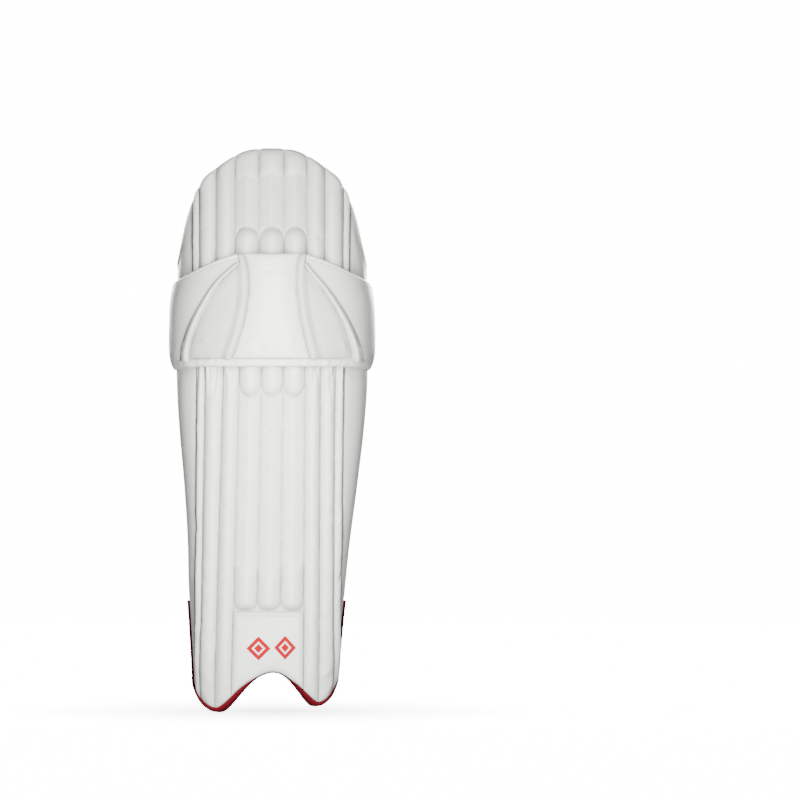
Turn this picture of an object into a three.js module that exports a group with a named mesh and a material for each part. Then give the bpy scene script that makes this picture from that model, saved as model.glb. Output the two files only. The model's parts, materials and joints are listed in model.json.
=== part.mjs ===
// A cricket batting leg pad for the right leg, standing upright as it is worn, in millimetres.
// X runs to the viewer's right, Y backwards to the calf and Z up. The face looks along -Y.
// The origin is on the axis of the leg, level with the pad's lowest edge.
// The pad has three sections: a shin section, a knee band that laps over its top, and a thigh flap
// tucked into the band. Three straps close the shin section behind the calf.
import * as THREE from "three";

// Driving dimensions
const HEIGHT = 701;
const KNEE_LOW = 430; // the knee band's lower edge
const KNEE_HIGH = 570.5; // its upper edge, at the centre
const SHIN_TOP = 468; // the shin section's top edge, tucked inside the knee band
const THIGH_LOW = 540; // the thigh flap's bottom edge, tucked inside the knee band
const WING_DEPTH = 72; // how far the wings reach behind the leg's axis
const WING_CURL = 0.18; // how far they curl inwards there, as a share of the half width
const FACE_FULLNESS = 2.4; // exponent of the front's superellipse: 2 is an ellipse, higher is flatter
const STRAP_WIDTH = 38;
const GAP = 0.4; // between pieces that touch

// Layers, as distances from the outer cover's surface: outwards is positive
const COVER = [-1.8, 0];
const STIFFENER = [-4, -2.2];
const FOAM = [-15, -4.4];
const LINING = [-17, -15.4];
const WING = [-9, 0];
const KNEE_COVER = [-3, 0];
const KNEE_FOAM = [-13, -4.4];
const KNEE_LINING = [-15, -13.4];
const ROLL_HEIGHT = 8.6; // of a side roll above the cover
const RIB_HEIGHT = 4.6; // of a centre roll between its two fat ends
const BUMP_HEIGHT = 9; // of those fat ends
const ROLL_EDGE = 0.9; // a roll's thickness along its two creases
const ROLL_BASE = 0.9; // from the cover to a roll's underside
const BINDING_WIDTH = 4; // of the tape round the bottom edge

const lerp = THREE.MathUtils.lerp;
const smoothstep = THREE.MathUtils.smoothstep;

// A smooth curve through stations [position, value].
function through(...stations) {
  const slope = (i) => {
    const before = stations[Math.max(i - 1, 0)];
    const after = stations[Math.min(i + 1, stations.length - 1)];
    return (after[1] - before[1]) / (after[0] - before[0]);
  };
  return (at) => {
    let i = stations.findIndex((s) => s[0] > at) - 1;
    if (i === -2) i = stations.length - 2;
    i = Math.max(i, 0);
    const [[x0, v0], [x1, v1]] = [stations[i], stations[i + 1]];
    const span = x1 - x0;
    const t = THREE.MathUtils.clamp((at - x0) / span, 0, 1);
    const t2 = t * t;
    const t3 = t2 * t;
    return (
      v0 * (2 * t3 - 3 * t2 + 1) +
      slope(i) * span * (t3 - 2 * t2 + t) +
      v1 * (3 * t2 - 2 * t3) +
      slope(i + 1) * span * (t3 - t2)
    );
  };
}

// A crease or edge that runs straight from its place at the bottom of the pad to its place at height top.
const line = (bottom, atTop, top = KNEE_LOW) => (z) => lerp(bottom, atTop, z / top);

// Shells: the outer surface of each section. At a height z it is a U in plan, halfWidth wide to each
// side of shift and depth deep in front of the leg's axis.
const shin = {
  halfWidth: through(
    [0, 88], [48, 89.5], [112, 94], [150, 97.5], [210, 101.5],
    [300, 110], [347, 115], [400, 119], [468, 120],
  ),
  shift: through([0, -8.6], [48, -8.2], [150, -6.4], [210, -4], [300, -1.2], [400, 0], [468, 0]),
  depth: through([0, 64], [60, 60], [150, 60], [300, 66], [430, 74], [468, 75]),
};
const knee = {
  halfWidth: through([400, 125.5], [440, 127.5], [500, 127.5], [540, 123.5], [575, 120]),
  shift: () => 0,
  depth: through([400, 86], [440, 92], [480, 96], [530, 94], [575, 88]),
};
const thigh = {
  halfWidth: through([500, 118], [540, 117.5], [580, 115.5], [625, 112], [680, 106], [705, 103]),
  shift: () => 0,
  depth: through([500, 72], [560, 73], [620, 72], [705, 63]),
};

// A point of a shell. Around the U, w is -1 and 1 where it is widest and 0 in the middle of the front;
// beyond 1 it runs back along a wing, WING_DEPTH for each whole unit.
function shellPoint(shell, w, z) {
  const a = shell.halfWidth(z);
  const b = shell.depth(z);
  const side = Math.sign(w) || 1;
  const beyond = Math.max(Math.abs(w) - 1, 0);
  if (beyond > 0) {
    const x = shell.shift(z) + side * a * (1 - WING_CURL * beyond * beyond);
    return new THREE.Vector3(x, WING_DEPTH * beyond, z);
  }
  const angle = (w * Math.PI) / 2;
  const [s, c] = [Math.sin(angle), Math.cos(angle)];
  const n = FACE_FULLNESS;
  const r = (Math.abs(s / a) ** n + Math.abs(c / b) ** n) ** (-1 / n);
  return new THREE.Vector3(shell.shift(z) + r * s, -r * c, z);
}

// The outward normal of a shell.
function shellNormal(shell, w, z) {
  const across = shellPoint(shell, w + 0.002, z).sub(shellPoint(shell, w - 0.002, z));
  const up = shellPoint(shell, w, z + 0.5).sub(shellPoint(shell, w, z - 0.5));
  return across.cross(up).normalize();
}

// A point at distance d outwards from a shell.
function offsetPoint(shell, w, z, d) {
  return shellPoint(shell, w, z).addScaledVector(shellNormal(shell, w, z), d);
}

// The place around a shell of a point at x.
function around(shell, x, z) {
  const n = FACE_FULLNESS;
  const out = x - shell.shift(z);
  const share = Math.min(Math.abs(out) / shell.halfWidth(z), 0.9995);
  const front = shell.depth(z) * (1 - share ** n) ** (1 / n);
  return (Math.sign(out) * Math.atan2(Math.abs(out), front) * 2) / Math.PI;
}

// A solid through rings of points. Each ring has an even number of points: an outer row, then an inner
// row back. Both rows are cut into triangles along the same diagonals, so that neighbouring layers stay
// parallel.
function loft(rings) {
  const position = [];
  const triangle = (...corners) => corners.forEach((p) => position.push(p.x, p.y, p.z));
  const count = rings[0].length;
  for (let k = 0; k + 1 < rings.length; k++) {
    for (let i = 0; i < count; i++) {
      const j = (i + 1) % count;
      const [a, b, c, d] = [rings[k][i], rings[k][j], rings[k + 1][j], rings[k + 1][i]];
      if (i < count / 2) {
        triangle(a, b, c);
        triangle(a, c, d);
      } else {
        triangle(a, b, d);
        triangle(b, c, d);
      }
    }
  }
  for (let i = 0; i + 1 < count / 2; i++) {
    const [a, b, c, d] = [i, i + 1, count - 2 - i, count - 1 - i];
    for (const [ring, flip] of [[rings[0], true], [rings.at(-1), false]]) {
      const corners = [ring[a], ring[b], ring[c], ring[d]];
      if (flip) corners.reverse();
      triangle(corners[0], corners[1], corners[2]);
      triangle(corners[0], corners[2], corners[3]);
    }
  }
  return facingOut(position);
}

// Turns the triangles round if they enclose a negative volume.
function facingOut(position) {
  const corner = (i) => new THREE.Vector3().fromArray(position, i);
  let volume = 0;
  for (let i = 0; i < position.length; i += 9) {
    volume += corner(i).dot(corner(i + 3).cross(corner(i + 6)));
  }
  if (volume < 0) {
    for (let i = 0; i < position.length; i += 9) {
      const second = position.slice(i + 3, i + 6);
      position.splice(i + 3, 3, ...position.slice(i + 6, i + 9));
      position.splice(i + 6, 3, ...second);
    }
  }
  return new THREE.BufferGeometry().setAttribute("position", new THREE.Float32BufferAttribute(position, 3));
}

// A sheet or strip that lies on a shell. left and right give its two sides as places around the shell at
// each height; low and high give its ends at each share p of its width; inner and outer are its faces.
// rows lists the heights of its rings where they matter, as shares of its length.
function panel(shell, { left, right, low, high, inner, outer, across = 8, along = 10, rows, round, flat }) {
  const shares = rows ?? Array.from({ length: along + 1 }, (_, j) => j / along);
  const rings = shares.map((q) => {
    const outerRow = [];
    const innerRow = [];
    for (let i = 0; i <= across; i++) {
      const p = round ? (1 - Math.cos((Math.PI * i) / across)) / 2 : i / across;
      const z = lerp(low(p), high(p), q);
      const w = lerp(left(z), right(z), p);
      const front = offsetPoint(shell, w, z, outer(p, z));
      if (flat !== undefined) front.y = flat;
      outerRow.push(front);
      innerRow.push(offsetPoint(shell, w, z, inner(p, z)));
    }
    return [...outerRow, ...innerRow.reverse()];
  });
  return loft(rings);
}

const evenly = (value) => () => value;

// The height at which a panel between left and right ends on an edge, which is a height for each x.
function meeting(shell, left, right, edge) {
  return (p) => {
    let z = edge(0);
    for (let pass = 0; pass < 5; pass++) {
      z = edge(shellPoint(shell, lerp(left(z), right(z), p), z).x);
    }
    return z;
  };
}
const at = (shell, x) => (z) => around(shell, x(z), z);

// A tube of the given radius along a curve through points.
function tube(points, radius, steps) {
  const circle = new THREE.Shape().absarc(0, 0, radius, 0, 2 * Math.PI);
  const extrudePath = new THREE.CatmullRomCurve3(points);
  const options = { extrudePath, steps, curveSegments: 5, bevelEnabled: false };
  return new THREE.ExtrudeGeometry(circle, options);
}

// The pad's bottom edge, as a height for each x: two round lobes with the arch for the boot between them.
const ARCH = { x: 3, z: 51 };
const OUTER_LOBE = { x: -67, z: 1.5, toSide: 31.5, rise: 46 };
const INNER_LOBE = { x: 57, z: 8.5, toSide: 24.5, rise: 40 };
const ARCH_SHAPE = 0.8; // under 1 widens the arch

function bottomEdge(x) {
  const lobe = x < ARCH.x ? OUTER_LOBE : INNER_LOBE;
  const inwards = (x - lobe.x) / (ARCH.x - lobe.x);
  if (inwards >= 0) {
    return lerp(lobe.z, ARCH.z, (1 - Math.cos(Math.PI * inwards ** ARCH_SHAPE)) / 2);
  }
  const outwards = Math.min(Math.abs(x - lobe.x) / lobe.toSide, 1);
  return lobe.z + lobe.rise * (1 - Math.sqrt(1 - outwards * outwards));
}

// The lower end of the layers, which the binding covers: a fixed distance inside the edge.
function insideEdge(x) {
  const slope = bottomEdge(x + 0.5) - bottomEdge(x - 0.5);
  return bottomEdge(x) + (BINDING_WIDTH + 1.4) * Math.hypot(1, Math.min(Math.abs(slope), 3));
}

// The thigh flap's top edge: a dome over the front, then a straight run down along each wing.
const FLAP_END = 1.55; // how far round the thigh shell the flap reaches
const DOME_FOOT = 556;
const domeHalf = through(
  [0, HEIGHT], [12, HEIGHT - 0.3], [24, HEIGHT - 1.6], [34, HEIGHT - 4], [44, HEIGHT - 8.5], [54, HEIGHT - 14.5],
  [73, HEIGHT - 28], [86, HEIGHT - 42], [94.5, HEIGHT - 57], [101, HEIGHT - 72], [106, HEIGHT - 88],
  [110, HEIGHT - 106], [118, DOME_FOOT],
);
const domeEdge = (x) => domeHalf(Math.abs(x));

function flapTop(w) {
  const onFront = THREE.MathUtils.clamp(w, -1, 1);
  let z = 640;
  for (let pass = 0; pass < 8; pass++) {
    z = lerp(z, domeEdge(shellPoint(thigh, onFront, z).x), 0.6);
  }
  return z - 26 * Math.max(Math.abs(w) - 1, 0);
}

function flapBottom(w) {
  return THIGH_LOW - 24 * smoothstep(Math.abs(w), 0.72, 1);
}

const pad = new THREE.Group();

const FINISH = {
  cover: { color: 0xe4e4de, roughness: 0.5 },
  foam: { color: 0x8c9096, roughness: 0.9 },
  stiffener: { color: 0xd9d4c4, roughness: 0.6 },
  lining: { color: 0xd8d6cc, roughness: 0.95 },
  binding: { color: 0x9c2a33, roughness: 0.7 },
  strap: { color: 0xdedfdb, roughness: 0.85 },
  tape: { color: 0xc9cac6, roughness: 1 },
};

function add(name, geometry, finish) {
  const material = new THREE.MeshStandardMaterial({ ...FINISH[finish], metalness: 0 });
  const mesh = new THREE.Mesh(geometry, material);
  mesh.name = name;
  pad.add(mesh);
}

// ---- Shin section ----

// Creases between the rolls, from the centre outwards, as x at the bottom of the pad and at the knee band.
const OUTER_CREASES = [line(-49.5, -38.5), line(-71, -58.5), line(-88, -81), line(-93.5, -91.5)];
const INNER_CREASES = [line(39, 42), line(58.5, 61), line(74, 79.5), line(80, 90)];
const seamOuter = at(shin, OUTER_CREASES[3]);
const seamInner = at(shin, INNER_CREASES[3]);

function faceLayer([inner, outer]) {
  return panel(shin, {
    left: seamOuter,
    right: seamInner,
    low: meeting(shin, seamOuter, seamInner, insideEdge),
    high: evenly(SHIN_TOP),
    inner: evenly(inner),
    outer: evenly(outer),
    across: 16,
    along: 9,
  });
}
add("shin_cover", faceLayer(COVER), "cover");
add("shin_stiffener", faceLayer(STIFFENER), "stiffener");
add("shin_foam", faceLayer(FOAM), "foam");
add("shin_lining", faceLayer(LINING), "lining");

// A wing runs from its seam with the face to its back edge, which sweeps forward below the ankle strap
// and is cut away under the knee band so that the knee can flex.
const WING_SWEEP = { from: 144, to: 194 };
const SIDE_EDGE = 0.995; // where the binding runs up each side, in units of w
const SEAM_GAP = 0.012;
function wingEnd(z) {
  const swept = smoothstep(z, WING_SWEEP.from, WING_SWEEP.to);
  const cut = 0.62 * smoothstep(z, 392, 462);
  const besideBinding = SIDE_EDGE - lerp(0.072, 0.042, smoothstep(z, 56, 78));
  return lerp(besideBinding, 2, swept) - cut;
}
function wing(side, seam) {
  const left = (z) => seam(z) + side * SEAM_GAP;
  const right = (z) => side * wingEnd(z);
  const high = SHIN_TOP - 8;
  const low = meeting(shin, left, right, insideEdge);
  const rows = [0, 0.1, 0.2, 0.25, 0.29, 0.33, 0.37, 0.5, 0.65, 0.8, 0.86, 0.93, 1];
  return panel(shin, {
    left,
    right,
    low,
    high: evenly(high),
    inner: evenly(WING[0]),
    outer: evenly(WING[1]),
    across: 6,
    rows,
  });
}
add("outer_wing", wing(-1, seamOuter), "cover");
add("inner_wing", wing(1, seamInner), "cover");

// A half-round padded roll between two creases. It ends on two edges, which are heights for each x.
function roll(shell, creases, lowEdge, highEdge, height, { across = 6, rows } = {}) {
  const left = at(shell, (z) => creases[0](z) + GAP / 2);
  const right = at(shell, (z) => creases[1](z) - GAP / 2);
  return panel(shell, {
    left,
    right,
    low: meeting(shell, left, right, lowEdge),
    high: meeting(shell, left, right, highEdge),
    inner: evenly(ROLL_BASE),
    outer: (p, z) => ROLL_BASE + ROLL_EDGE + height(z) * Math.sqrt(Math.max(1 - (2 * p - 1) ** 2, 0)),
    across,
    along: 7,
    rows,
    round: true,
  });
}

// Side rolls sink towards the binding at the bottom.
const sideHeight = (z) => ROLL_HEIGHT * lerp(0.45, 1, smoothstep(z, 8, 70)) - ROLL_EDGE;
for (let i = 0; i < 3; i++) {
  for (const [label, creases] of [["outer", OUTER_CREASES], ["inner", INNER_CREASES]]) {
    const sides = [creases[i], creases[i + 1]].sort((a, b) => a(0) - b(0));
    const slim = i === 2;
    const height = (z) => sideHeight(z) * (slim ? 0.62 : 1);
    const solid = roll(shin, sides, insideEdge, evenly(SHIN_TOP - 3), height, { across: slim ? 4 : 6 });
    add(`shin_roll_${label}_${i + 1}`, solid, "cover");
  }
}

// The three centre rolls are low ribs with a fat end under the knee band and another above the instep
// panel.
const PANEL_TOP = 126;
const RIB = { low: 172, high: 396, blend: 9 };
const ribHeight = (z) =>
  lerp(
    BUMP_HEIGHT,
    RIB_HEIGHT,
    smoothstep(z, RIB.low - RIB.blend, RIB.low) * (1 - smoothstep(z, RIB.high, RIB.high + RIB.blend)),
  ) * Math.sqrt(THREE.MathUtils.clamp((z - PANEL_TOP) / 8, 0.25, 1));
const centreLine = (share) => (z) => lerp(OUTER_CREASES[0](z), INNER_CREASES[0](z), share);
for (let i = 0; i < 3; i++) {
  const [low, high] = [PANEL_TOP + 2, SHIN_TOP - 3];
  const rows = [low, 131, 136, 150, RIB.low - RIB.blend, RIB.low, 250, 330, RIB.high];
  rows.push(RIB.high + RIB.blend, 430, high);
  const shares = rows.map((z) => (z - low) / (high - low));
  const sides = [centreLine(i / 3), centreLine((i + 1) / 3)];
  const solid = roll(shin, sides, evenly(low), evenly(high), ribHeight, { rows: shares });
  add(`shin_centre_roll_${i + 1}`, solid, "cover");
}

// The flat instep panel, whose front is a true plane for a badge.
const BADGE_PLANE = -66.5;
const panelSides = [at(shin, (z) => OUTER_CREASES[0](z) + 1), at(shin, (z) => INNER_CREASES[0](z) - 1)];
add(
  "instep_panel",
  panel(shin, {
    left: panelSides[0],
    right: panelSides[1],
    low: meeting(shin, ...panelSides, insideEdge),
    high: evenly(PANEL_TOP),
    inner: evenly(1.3),
    outer: evenly(5),
    across: 10,
    along: 4,
    flat: BADGE_PLANE,
  }),
  "cover",
);

// The binding tape: down one side from the wing's sweep, round the lobes and the arch, and up the other.
function bindingPath() {
  const sideHeights = [136, 100, 68];
  const path = sideHeights.map((z) => [-SIDE_EDGE, z]);
  const [from, to] = [OUTER_LOBE.x - OUTER_LOBE.toSide, INNER_LOBE.x + INNER_LOBE.toSide];
  const steps = 26;
  for (let i = 0; i <= steps; i++) {
    const x = lerp(from, to, (1 - Math.cos((Math.PI * i) / steps)) / 2);
    const z = bottomEdge(x);
    path.push([THREE.MathUtils.clamp(around(shin, x, z), -SIDE_EDGE, SIDE_EDGE), z]);
  }
  path.push(...sideHeights.reverse().map((z) => [SIDE_EDGE, z]));
  return path;
}
function binding() {
  const places = bindingPath().map(([w, z]) => {
    return { point: shellPoint(shin, w, z), normal: shellNormal(shin, w, z) };
  });
  const rings = places.map(({ point, normal }, i) => {
    const before = places[Math.max(i - 1, 0)].point;
    const after = places[Math.min(i + 1, places.length - 1)].point;
    const inwards = after.clone().sub(before).normalize().cross(normal).negate();
    const corner = (share, d) => point.clone().addScaledVector(inwards, share).addScaledVector(normal, d);
    return [corner(0, 2), corner(BINDING_WIDTH, 2), corner(BINDING_WIDTH, LINING[0]), corner(0, LINING[0])];
  });
  return loft(rings);
}
add("bottom_binding", binding(), "binding");

// Stuffed bolsters behind the lining: one along each side of the shin and one over the arch.
const BOLSTER_RADIUS = 13;
const INSTEP_RADIUS = 8;
const behindLining = (radius) => LINING[0] - 1.5 - radius;
function bolster(x) {
  const heights = [62, 130, 200, 270, 340, 400, 446];
  const depth = behindLining(BOLSTER_RADIUS);
  const points = heights.map((z) => offsetPoint(shin, around(shin, x(z), z), z, depth));
  return tube(points, BOLSTER_RADIUS, 8);
}
add("outer_bolster", bolster(line(-70, -62)), "lining");
add("inner_bolster", bolster(line(50, 60)), "lining");

const instepPoints = [-36, -22, -9, 3, 14, 25, 35].map((x) => {
  const z = bottomEdge(x) + 20;
  return offsetPoint(shin, around(shin, x, z), z, behindLining(INSTEP_RADIUS));
});
add("instep_bolster", tube(instepPoints, INSTEP_RADIUS, 8), "lining");

// ---- Knee band ----

const bandTop = (w) => {
  const x = Math.abs(shellPoint(knee, THREE.MathUtils.clamp(w, -1, 1), 540).x);
  const slope = Math.max((x - 38) / 82, 0) ** 1.4;
  return KNEE_HIGH - 34 * slope - 14 * Math.max(Math.abs(w) - 1, 0);
};
function bandBottom(w) {
  return KNEE_LOW - 9 * smoothstep(Math.abs(w), 0.5, 1) + 34 * Math.max(Math.abs(w) - 1, 0);
}
const BAND_END = 1.72;
const bandW = (p) => lerp(-BAND_END, BAND_END, p);
add(
  "knee_cover",
  panel(knee, {
    left: evenly(-BAND_END),
    right: evenly(BAND_END),
    low: (p) => bandBottom(bandW(p)),
    high: (p) => bandTop(bandW(p)),
    inner: evenly(KNEE_COVER[0]),
    outer: evenly(KNEE_COVER[1]),
    across: 24,
    along: 5,
  }),
  "cover",
);
const KNEE_CORE_HALF = 88;
function kneeLayer([inner, outer], low, high) {
  return panel(knee, {
    left: at(knee, evenly(-KNEE_CORE_HALF)),
    right: at(knee, evenly(KNEE_CORE_HALF)),
    low: evenly(low),
    high: evenly(high),
    inner: evenly(inner),
    outer: evenly(outer),
    across: 10,
    along: 3,
  });
}
add("knee_foam", kneeLayer(KNEE_FOAM, SHIN_TOP + 6, THIGH_LOW - 8), "foam");
add("knee_lining", kneeLayer(KNEE_LINING, SHIN_TOP + 6, THIGH_LOW - 8), "lining");

// Panels on the band: the hourglass centre panel, piping along its two sides, and a leaf on each side of
// it under an arched welt. The edges are given as x at each height.
const CENTRE_EDGES = {
  outer: through([430, -50], [452, -43], [487, -31.7], [507, -28], [534, -25.5], [568, -32]),
  inner: through([430, 50], [452, 44.7], [487, 36.7], [507, 33], [534, 31], [568, 35]),
};
const ARC_EDGES = {
  outer: through([434, -101.5], [454, -99.6], [481, -91.4], [516, -74], [538, -58.5], [560, -38.5]),
  inner: through([434, 103.5], [458, 98.8], [481, 90], [506, 76.8], [529, 61.5], [560, 40.5]),
};
const PIPING_WIDTH = 8.6;
const WELT_WIDTH = 5;
add(
  "knee_centre_panel",
  panel(knee, {
    left: at(knee, CENTRE_EDGES.outer),
    right: at(knee, CENTRE_EDGES.inner),
    low: evenly(KNEE_LOW + 3),
    high: evenly(KNEE_HIGH - 3),
    inner: evenly(GAP),
    outer: (p) => GAP + 1.4 + 4.6 * Math.sqrt(Math.max(1 - (2 * p - 1) ** 4, 0)),
    across: 8,
    along: 6,
  }),
  "cover",
);
for (const [label, side] of [["outer", -1], ["inner", 1]]) {
  const [centre, arc] = [CENTRE_EDGES[label], ARC_EDGES[label]];
  const pipingSides = [(z) => centre(z) + side, (z) => centre(z) + side * PIPING_WIDTH];
  if (side < 0) pipingSides.reverse();
  add(
    `knee_piping_${label}`,
    panel(knee, {
      left: at(knee, pipingSides[0]),
      right: at(knee, pipingSides[1]),
      low: evenly(KNEE_LOW + 3),
      high: evenly(KNEE_HIGH - 3),
      inner: evenly(GAP),
      outer: (p) => GAP + 1 + 4.4 * Math.sqrt(Math.max(1 - (2 * p - 1) ** 2, 0)),
      across: 4,
      along: 6,
      round: true,
    }),
    "cover",
  );
  const nearCentre = (z) => centre(z) + side * (PIPING_WIDTH + GAP + 0.8);
  const belowArc = (z) => side * Math.max(side * arc(z) - 1, side * nearCentre(z) + 3);
  const sides = side < 0 ? [belowArc, nearCentre] : [nearCentre, belowArc];
  add(
    `knee_leaf_${label}`,
    panel(knee, {
      left: at(knee, sides[0]),
      right: at(knee, sides[1]),
      low: evenly(KNEE_LOW + 5),
      high: evenly(546),
      inner: evenly(0.7),
      outer: (p) => GAP + 1.2 + 2.6 * Math.sqrt(Math.max(1 - (2 * p - 1) ** 2, 0)),
      across: 6,
      along: 6,
      round: true,
    }),
    "cover",
  );
  const weltSides = [(z) => arc(z) + side * GAP, (z) => arc(z) + side * (GAP + WELT_WIDTH)];
  if (side < 0) weltSides.reverse();
  add(
    `knee_welt_${label}`,
    panel(knee, {
      left: at(knee, weltSides[0]),
      right: at(knee, weltSides[1]),
      low: evenly(KNEE_LOW + 3),
      high: evenly(548),
      inner: evenly(GAP),
      outer: (p) => GAP + 0.8 + 3 * Math.sqrt(Math.max(1 - (2 * p - 1) ** 2, 0)),
      across: 4,
      along: 8,
      round: true,
    }),
    "cover",
  );
}

// Inside the band, two upright bolsters and a flat pad hold the kneecap.
const CRADLE_RADIUS = 12;
for (const [label, side] of [["outer", -1], ["inner", 1]]) {
  const points = [484, 500, 516, 530].map((z) =>
    offsetPoint(knee, around(knee, side * 58, z), z, KNEE_LINING[0] - 1.5 - CRADLE_RADIUS),
  );
  add(`knee_cradle_${label}`, tube(points, CRADLE_RADIUS, 4), "lining");
}
add(
  "knee_cap_pad",
  panel(knee, {
    left: at(knee, evenly(-34)),
    right: at(knee, evenly(34)),
    low: evenly(480),
    high: evenly(530),
    inner: (p) => KNEE_LINING[0] - GAP - 3 - 6 * Math.sqrt(Math.max(1 - (2 * p - 1) ** 4, 0)),
    outer: evenly(KNEE_LINING[0] - GAP),
    across: 6,
    along: 3,
  }),
  "lining",
);

// ---- Thigh flap ----

const flapW = (p) => lerp(-FLAP_END, FLAP_END, p);
add(
  "thigh_cover",
  panel(thigh, {
    left: evenly(-FLAP_END),
    right: evenly(FLAP_END),
    low: (p) => flapBottom(flapW(p)),
    high: (p) => flapTop(flapW(p)),
    inner: evenly(COVER[0] - 1),
    outer: evenly(COVER[1]),
    across: 26,
    along: 5,
  }),
  "cover",
);
const FLAP_CORE_HALF = 96;
function flapLayer([inner, outer]) {
  const sides = [-FLAP_CORE_HALF, FLAP_CORE_HALF].map((x) => at(thigh, evenly(x)));
  return panel(thigh, {
    left: sides[0],
    right: sides[1],
    low: evenly(THIGH_LOW + 4),
    high: meeting(thigh, ...sides, (x) => domeEdge(x) - 5),
    inner: evenly(inner),
    outer: evenly(outer),
    across: 14,
    along: 4,
  });
}
add("thigh_foam", flapLayer([-13, -4]), "foam");
add("thigh_lining", flapLayer([-15, -13.4]), "lining");

// Its rolls run up to the dome, where they round off.
const FLAP_CREASES = [44.5, 66, 88, 95.5];
const ROLL_END = 3; // how far below the dome's edge a roll stops
const flapRollTop = (x) => domeEdge(x) - ROLL_END;
for (let i = 0; i < 3; i++) {
  for (const [label, side] of [["outer", -1], ["inner", 1]]) {
    const sides = [side * FLAP_CREASES[i], side * FLAP_CREASES[i + 1]].sort((a, b) => a - b);
    const crest = Math.min(...sides.map(flapRollTop));
    const slim = i === 2;
    const full = (ROLL_HEIGHT - ROLL_EDGE) * (slim ? 0.6 : 1);
    const height = (z) => full * lerp(1, 0.35, smoothstep(z, crest - 14, crest + 12));
    const creases = sides.map((x) => evenly(x));
    const low = evenly(THIGH_LOW + 2);
    const solid = roll(thigh, creases, low, flapRollTop, height, { across: slim ? 4 : 6 });
    add(`thigh_roll_${label}_${i + 1}`, solid, "cover");
  }
}

// Its three centre rolls are ribs between a fat lower end, just above the band, and a fat top.
const FLAP_RIB = { low: 602, high: 668, blend: 8 };
const flapRibHeight = (z) =>
  lerp(
    BUMP_HEIGHT - 1,
    RIB_HEIGHT,
    smoothstep(z, FLAP_RIB.low - 2, FLAP_RIB.low + FLAP_RIB.blend) *
      (1 - smoothstep(z, FLAP_RIB.high, FLAP_RIB.high + FLAP_RIB.blend)),
  ) * lerp(1, 0.4, smoothstep(z, 684, 696));
for (let i = 0; i < 3; i++) {
  const sides = [i / 3, (i + 1) / 3].map((share) => lerp(-FLAP_CREASES[0], FLAP_CREASES[0], share));
  const low = THIGH_LOW + 2;
  const high = flapRollTop(Math.max(...sides.map(Math.abs)));
  const rows = [low, 580, 594, FLAP_RIB.low, FLAP_RIB.low + FLAP_RIB.blend, 640, FLAP_RIB.high];
  rows.push(FLAP_RIB.high + FLAP_RIB.blend, 684, high);
  const shares = rows.map((z) => (z - low) / (high - low));
  const creases = sides.map((x) => evenly(x));
  const solid = roll(thigh, creases, evenly(low), evenly(high), flapRibHeight, { rows: shares });
  add(`thigh_centre_roll_${i + 1}`, solid, "cover");
}

// ---- Straps ----

// Each strap is sewn to the inner wing by its anchor, crosses behind the calf and turns forward round the
// outer wing's back edge, where the hook tape under its tab grips the loop tape on the wing.
const STRAPS = [
  ["ankle", 210],
  ["calf", 287],
  ["top", 362],
];
const STRAP_THICK = 2;
const HINGE_Y = WING_DEPTH + 3;
const ANCHOR = { from: 1.6, to: 1.955 }; // along the inner wing, in units of w
const TAB = { from: 1.44, to: 1.99 }; // along the outer wing
const TAB_LAYERS = { loop: [0.4, 1.4], hook: [1.8, 2.8], tab: [3.1, 4.9] };
const STRAP_BULGE = 16; // how far the strap bows back behind the calf
const STRAP_STEPS = 12;

function patch(side, from, to, low, high, [inner, outer]) {
  return panel(shin, {
    left: evenly(side * from),
    right: evenly(side * to),
    low: evenly(low),
    high: evenly(high),
    inner: evenly(inner),
    outer: evenly(outer),
    across: 4,
    along: 1,
  });
}

// The two hinge lines of a strap, as x: where it leaves the inner wing and where its tab turns.
function strapHinges(height) {
  const [low, high] = [height - STRAP_WIDTH / 2, height + STRAP_WIDTH / 2];
  const inner = Math.max(...[low, high].map((z) => shellPoint(shin, 2, z).x)) + 1;
  const outer = Math.min(...[low, high].map((z) => offsetPoint(shin, -2, z, TAB_LAYERS.tab[1]).x));
  return { inner, outer, low, high };
}

// A strip in plan along points, STRAP_THICK thick, extruded upwards to the strap's width.
function strip(points, low) {
  const curve = new THREE.SplineCurve(points);
  const samples = curve.getPoints(STRAP_STEPS);
  const half = STRAP_THICK / 2;
  const sidePoints = (sign) =>
    samples.map((point, i) => {
      const tangent = curve.getTangent(i / STRAP_STEPS);
      return new THREE.Vector2(point.x - sign * tangent.y * half, point.y + sign * tangent.x * half);
    });
  const outline = new THREE.Shape([...sidePoints(1), ...sidePoints(-1).reverse()]);
  const solid = new THREE.ExtrudeGeometry(outline, { depth: STRAP_WIDTH, bevelEnabled: false });
  return solid.translate(0, 0, low);
}

for (const [label, height] of STRAPS) {
  const { inner, outer, low, high } = strapHinges(height);
  const { from, to } = TAB;
  const { loop, hook, tab } = TAB_LAYERS;
  add(`${label}_strap_anchor`, patch(1, ANCHOR.from, ANCHOR.to, low, high, [0.4, 2.4]), "strap");
  add(`${label}_loop_tape`, patch(-1, from, to - 0.05, low + 2, high - 2, loop), "tape");
  add(`${label}_hook_tape`, patch(-1, from + 0.03, to - 0.05, low + 3, high - 3, hook), "tape");
  add(`${label}_strap_tab`, patch(-1, from, to, low, high, tab), "strap");
  const points = [
    [inner, HINGE_Y],
    [lerp(inner, outer, 0.25), HINGE_Y + STRAP_BULGE * 0.75],
    [lerp(inner, outer, 0.5), HINGE_Y + STRAP_BULGE],
    [lerp(inner, outer, 0.75), HINGE_Y + STRAP_BULGE * 0.75],
    [outer, HINGE_Y],
  ].map(([x, y]) => new THREE.Vector2(x, y));
  add(`${label}_strap`, strip(points, low), "strap");
}

export default pad;
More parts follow.
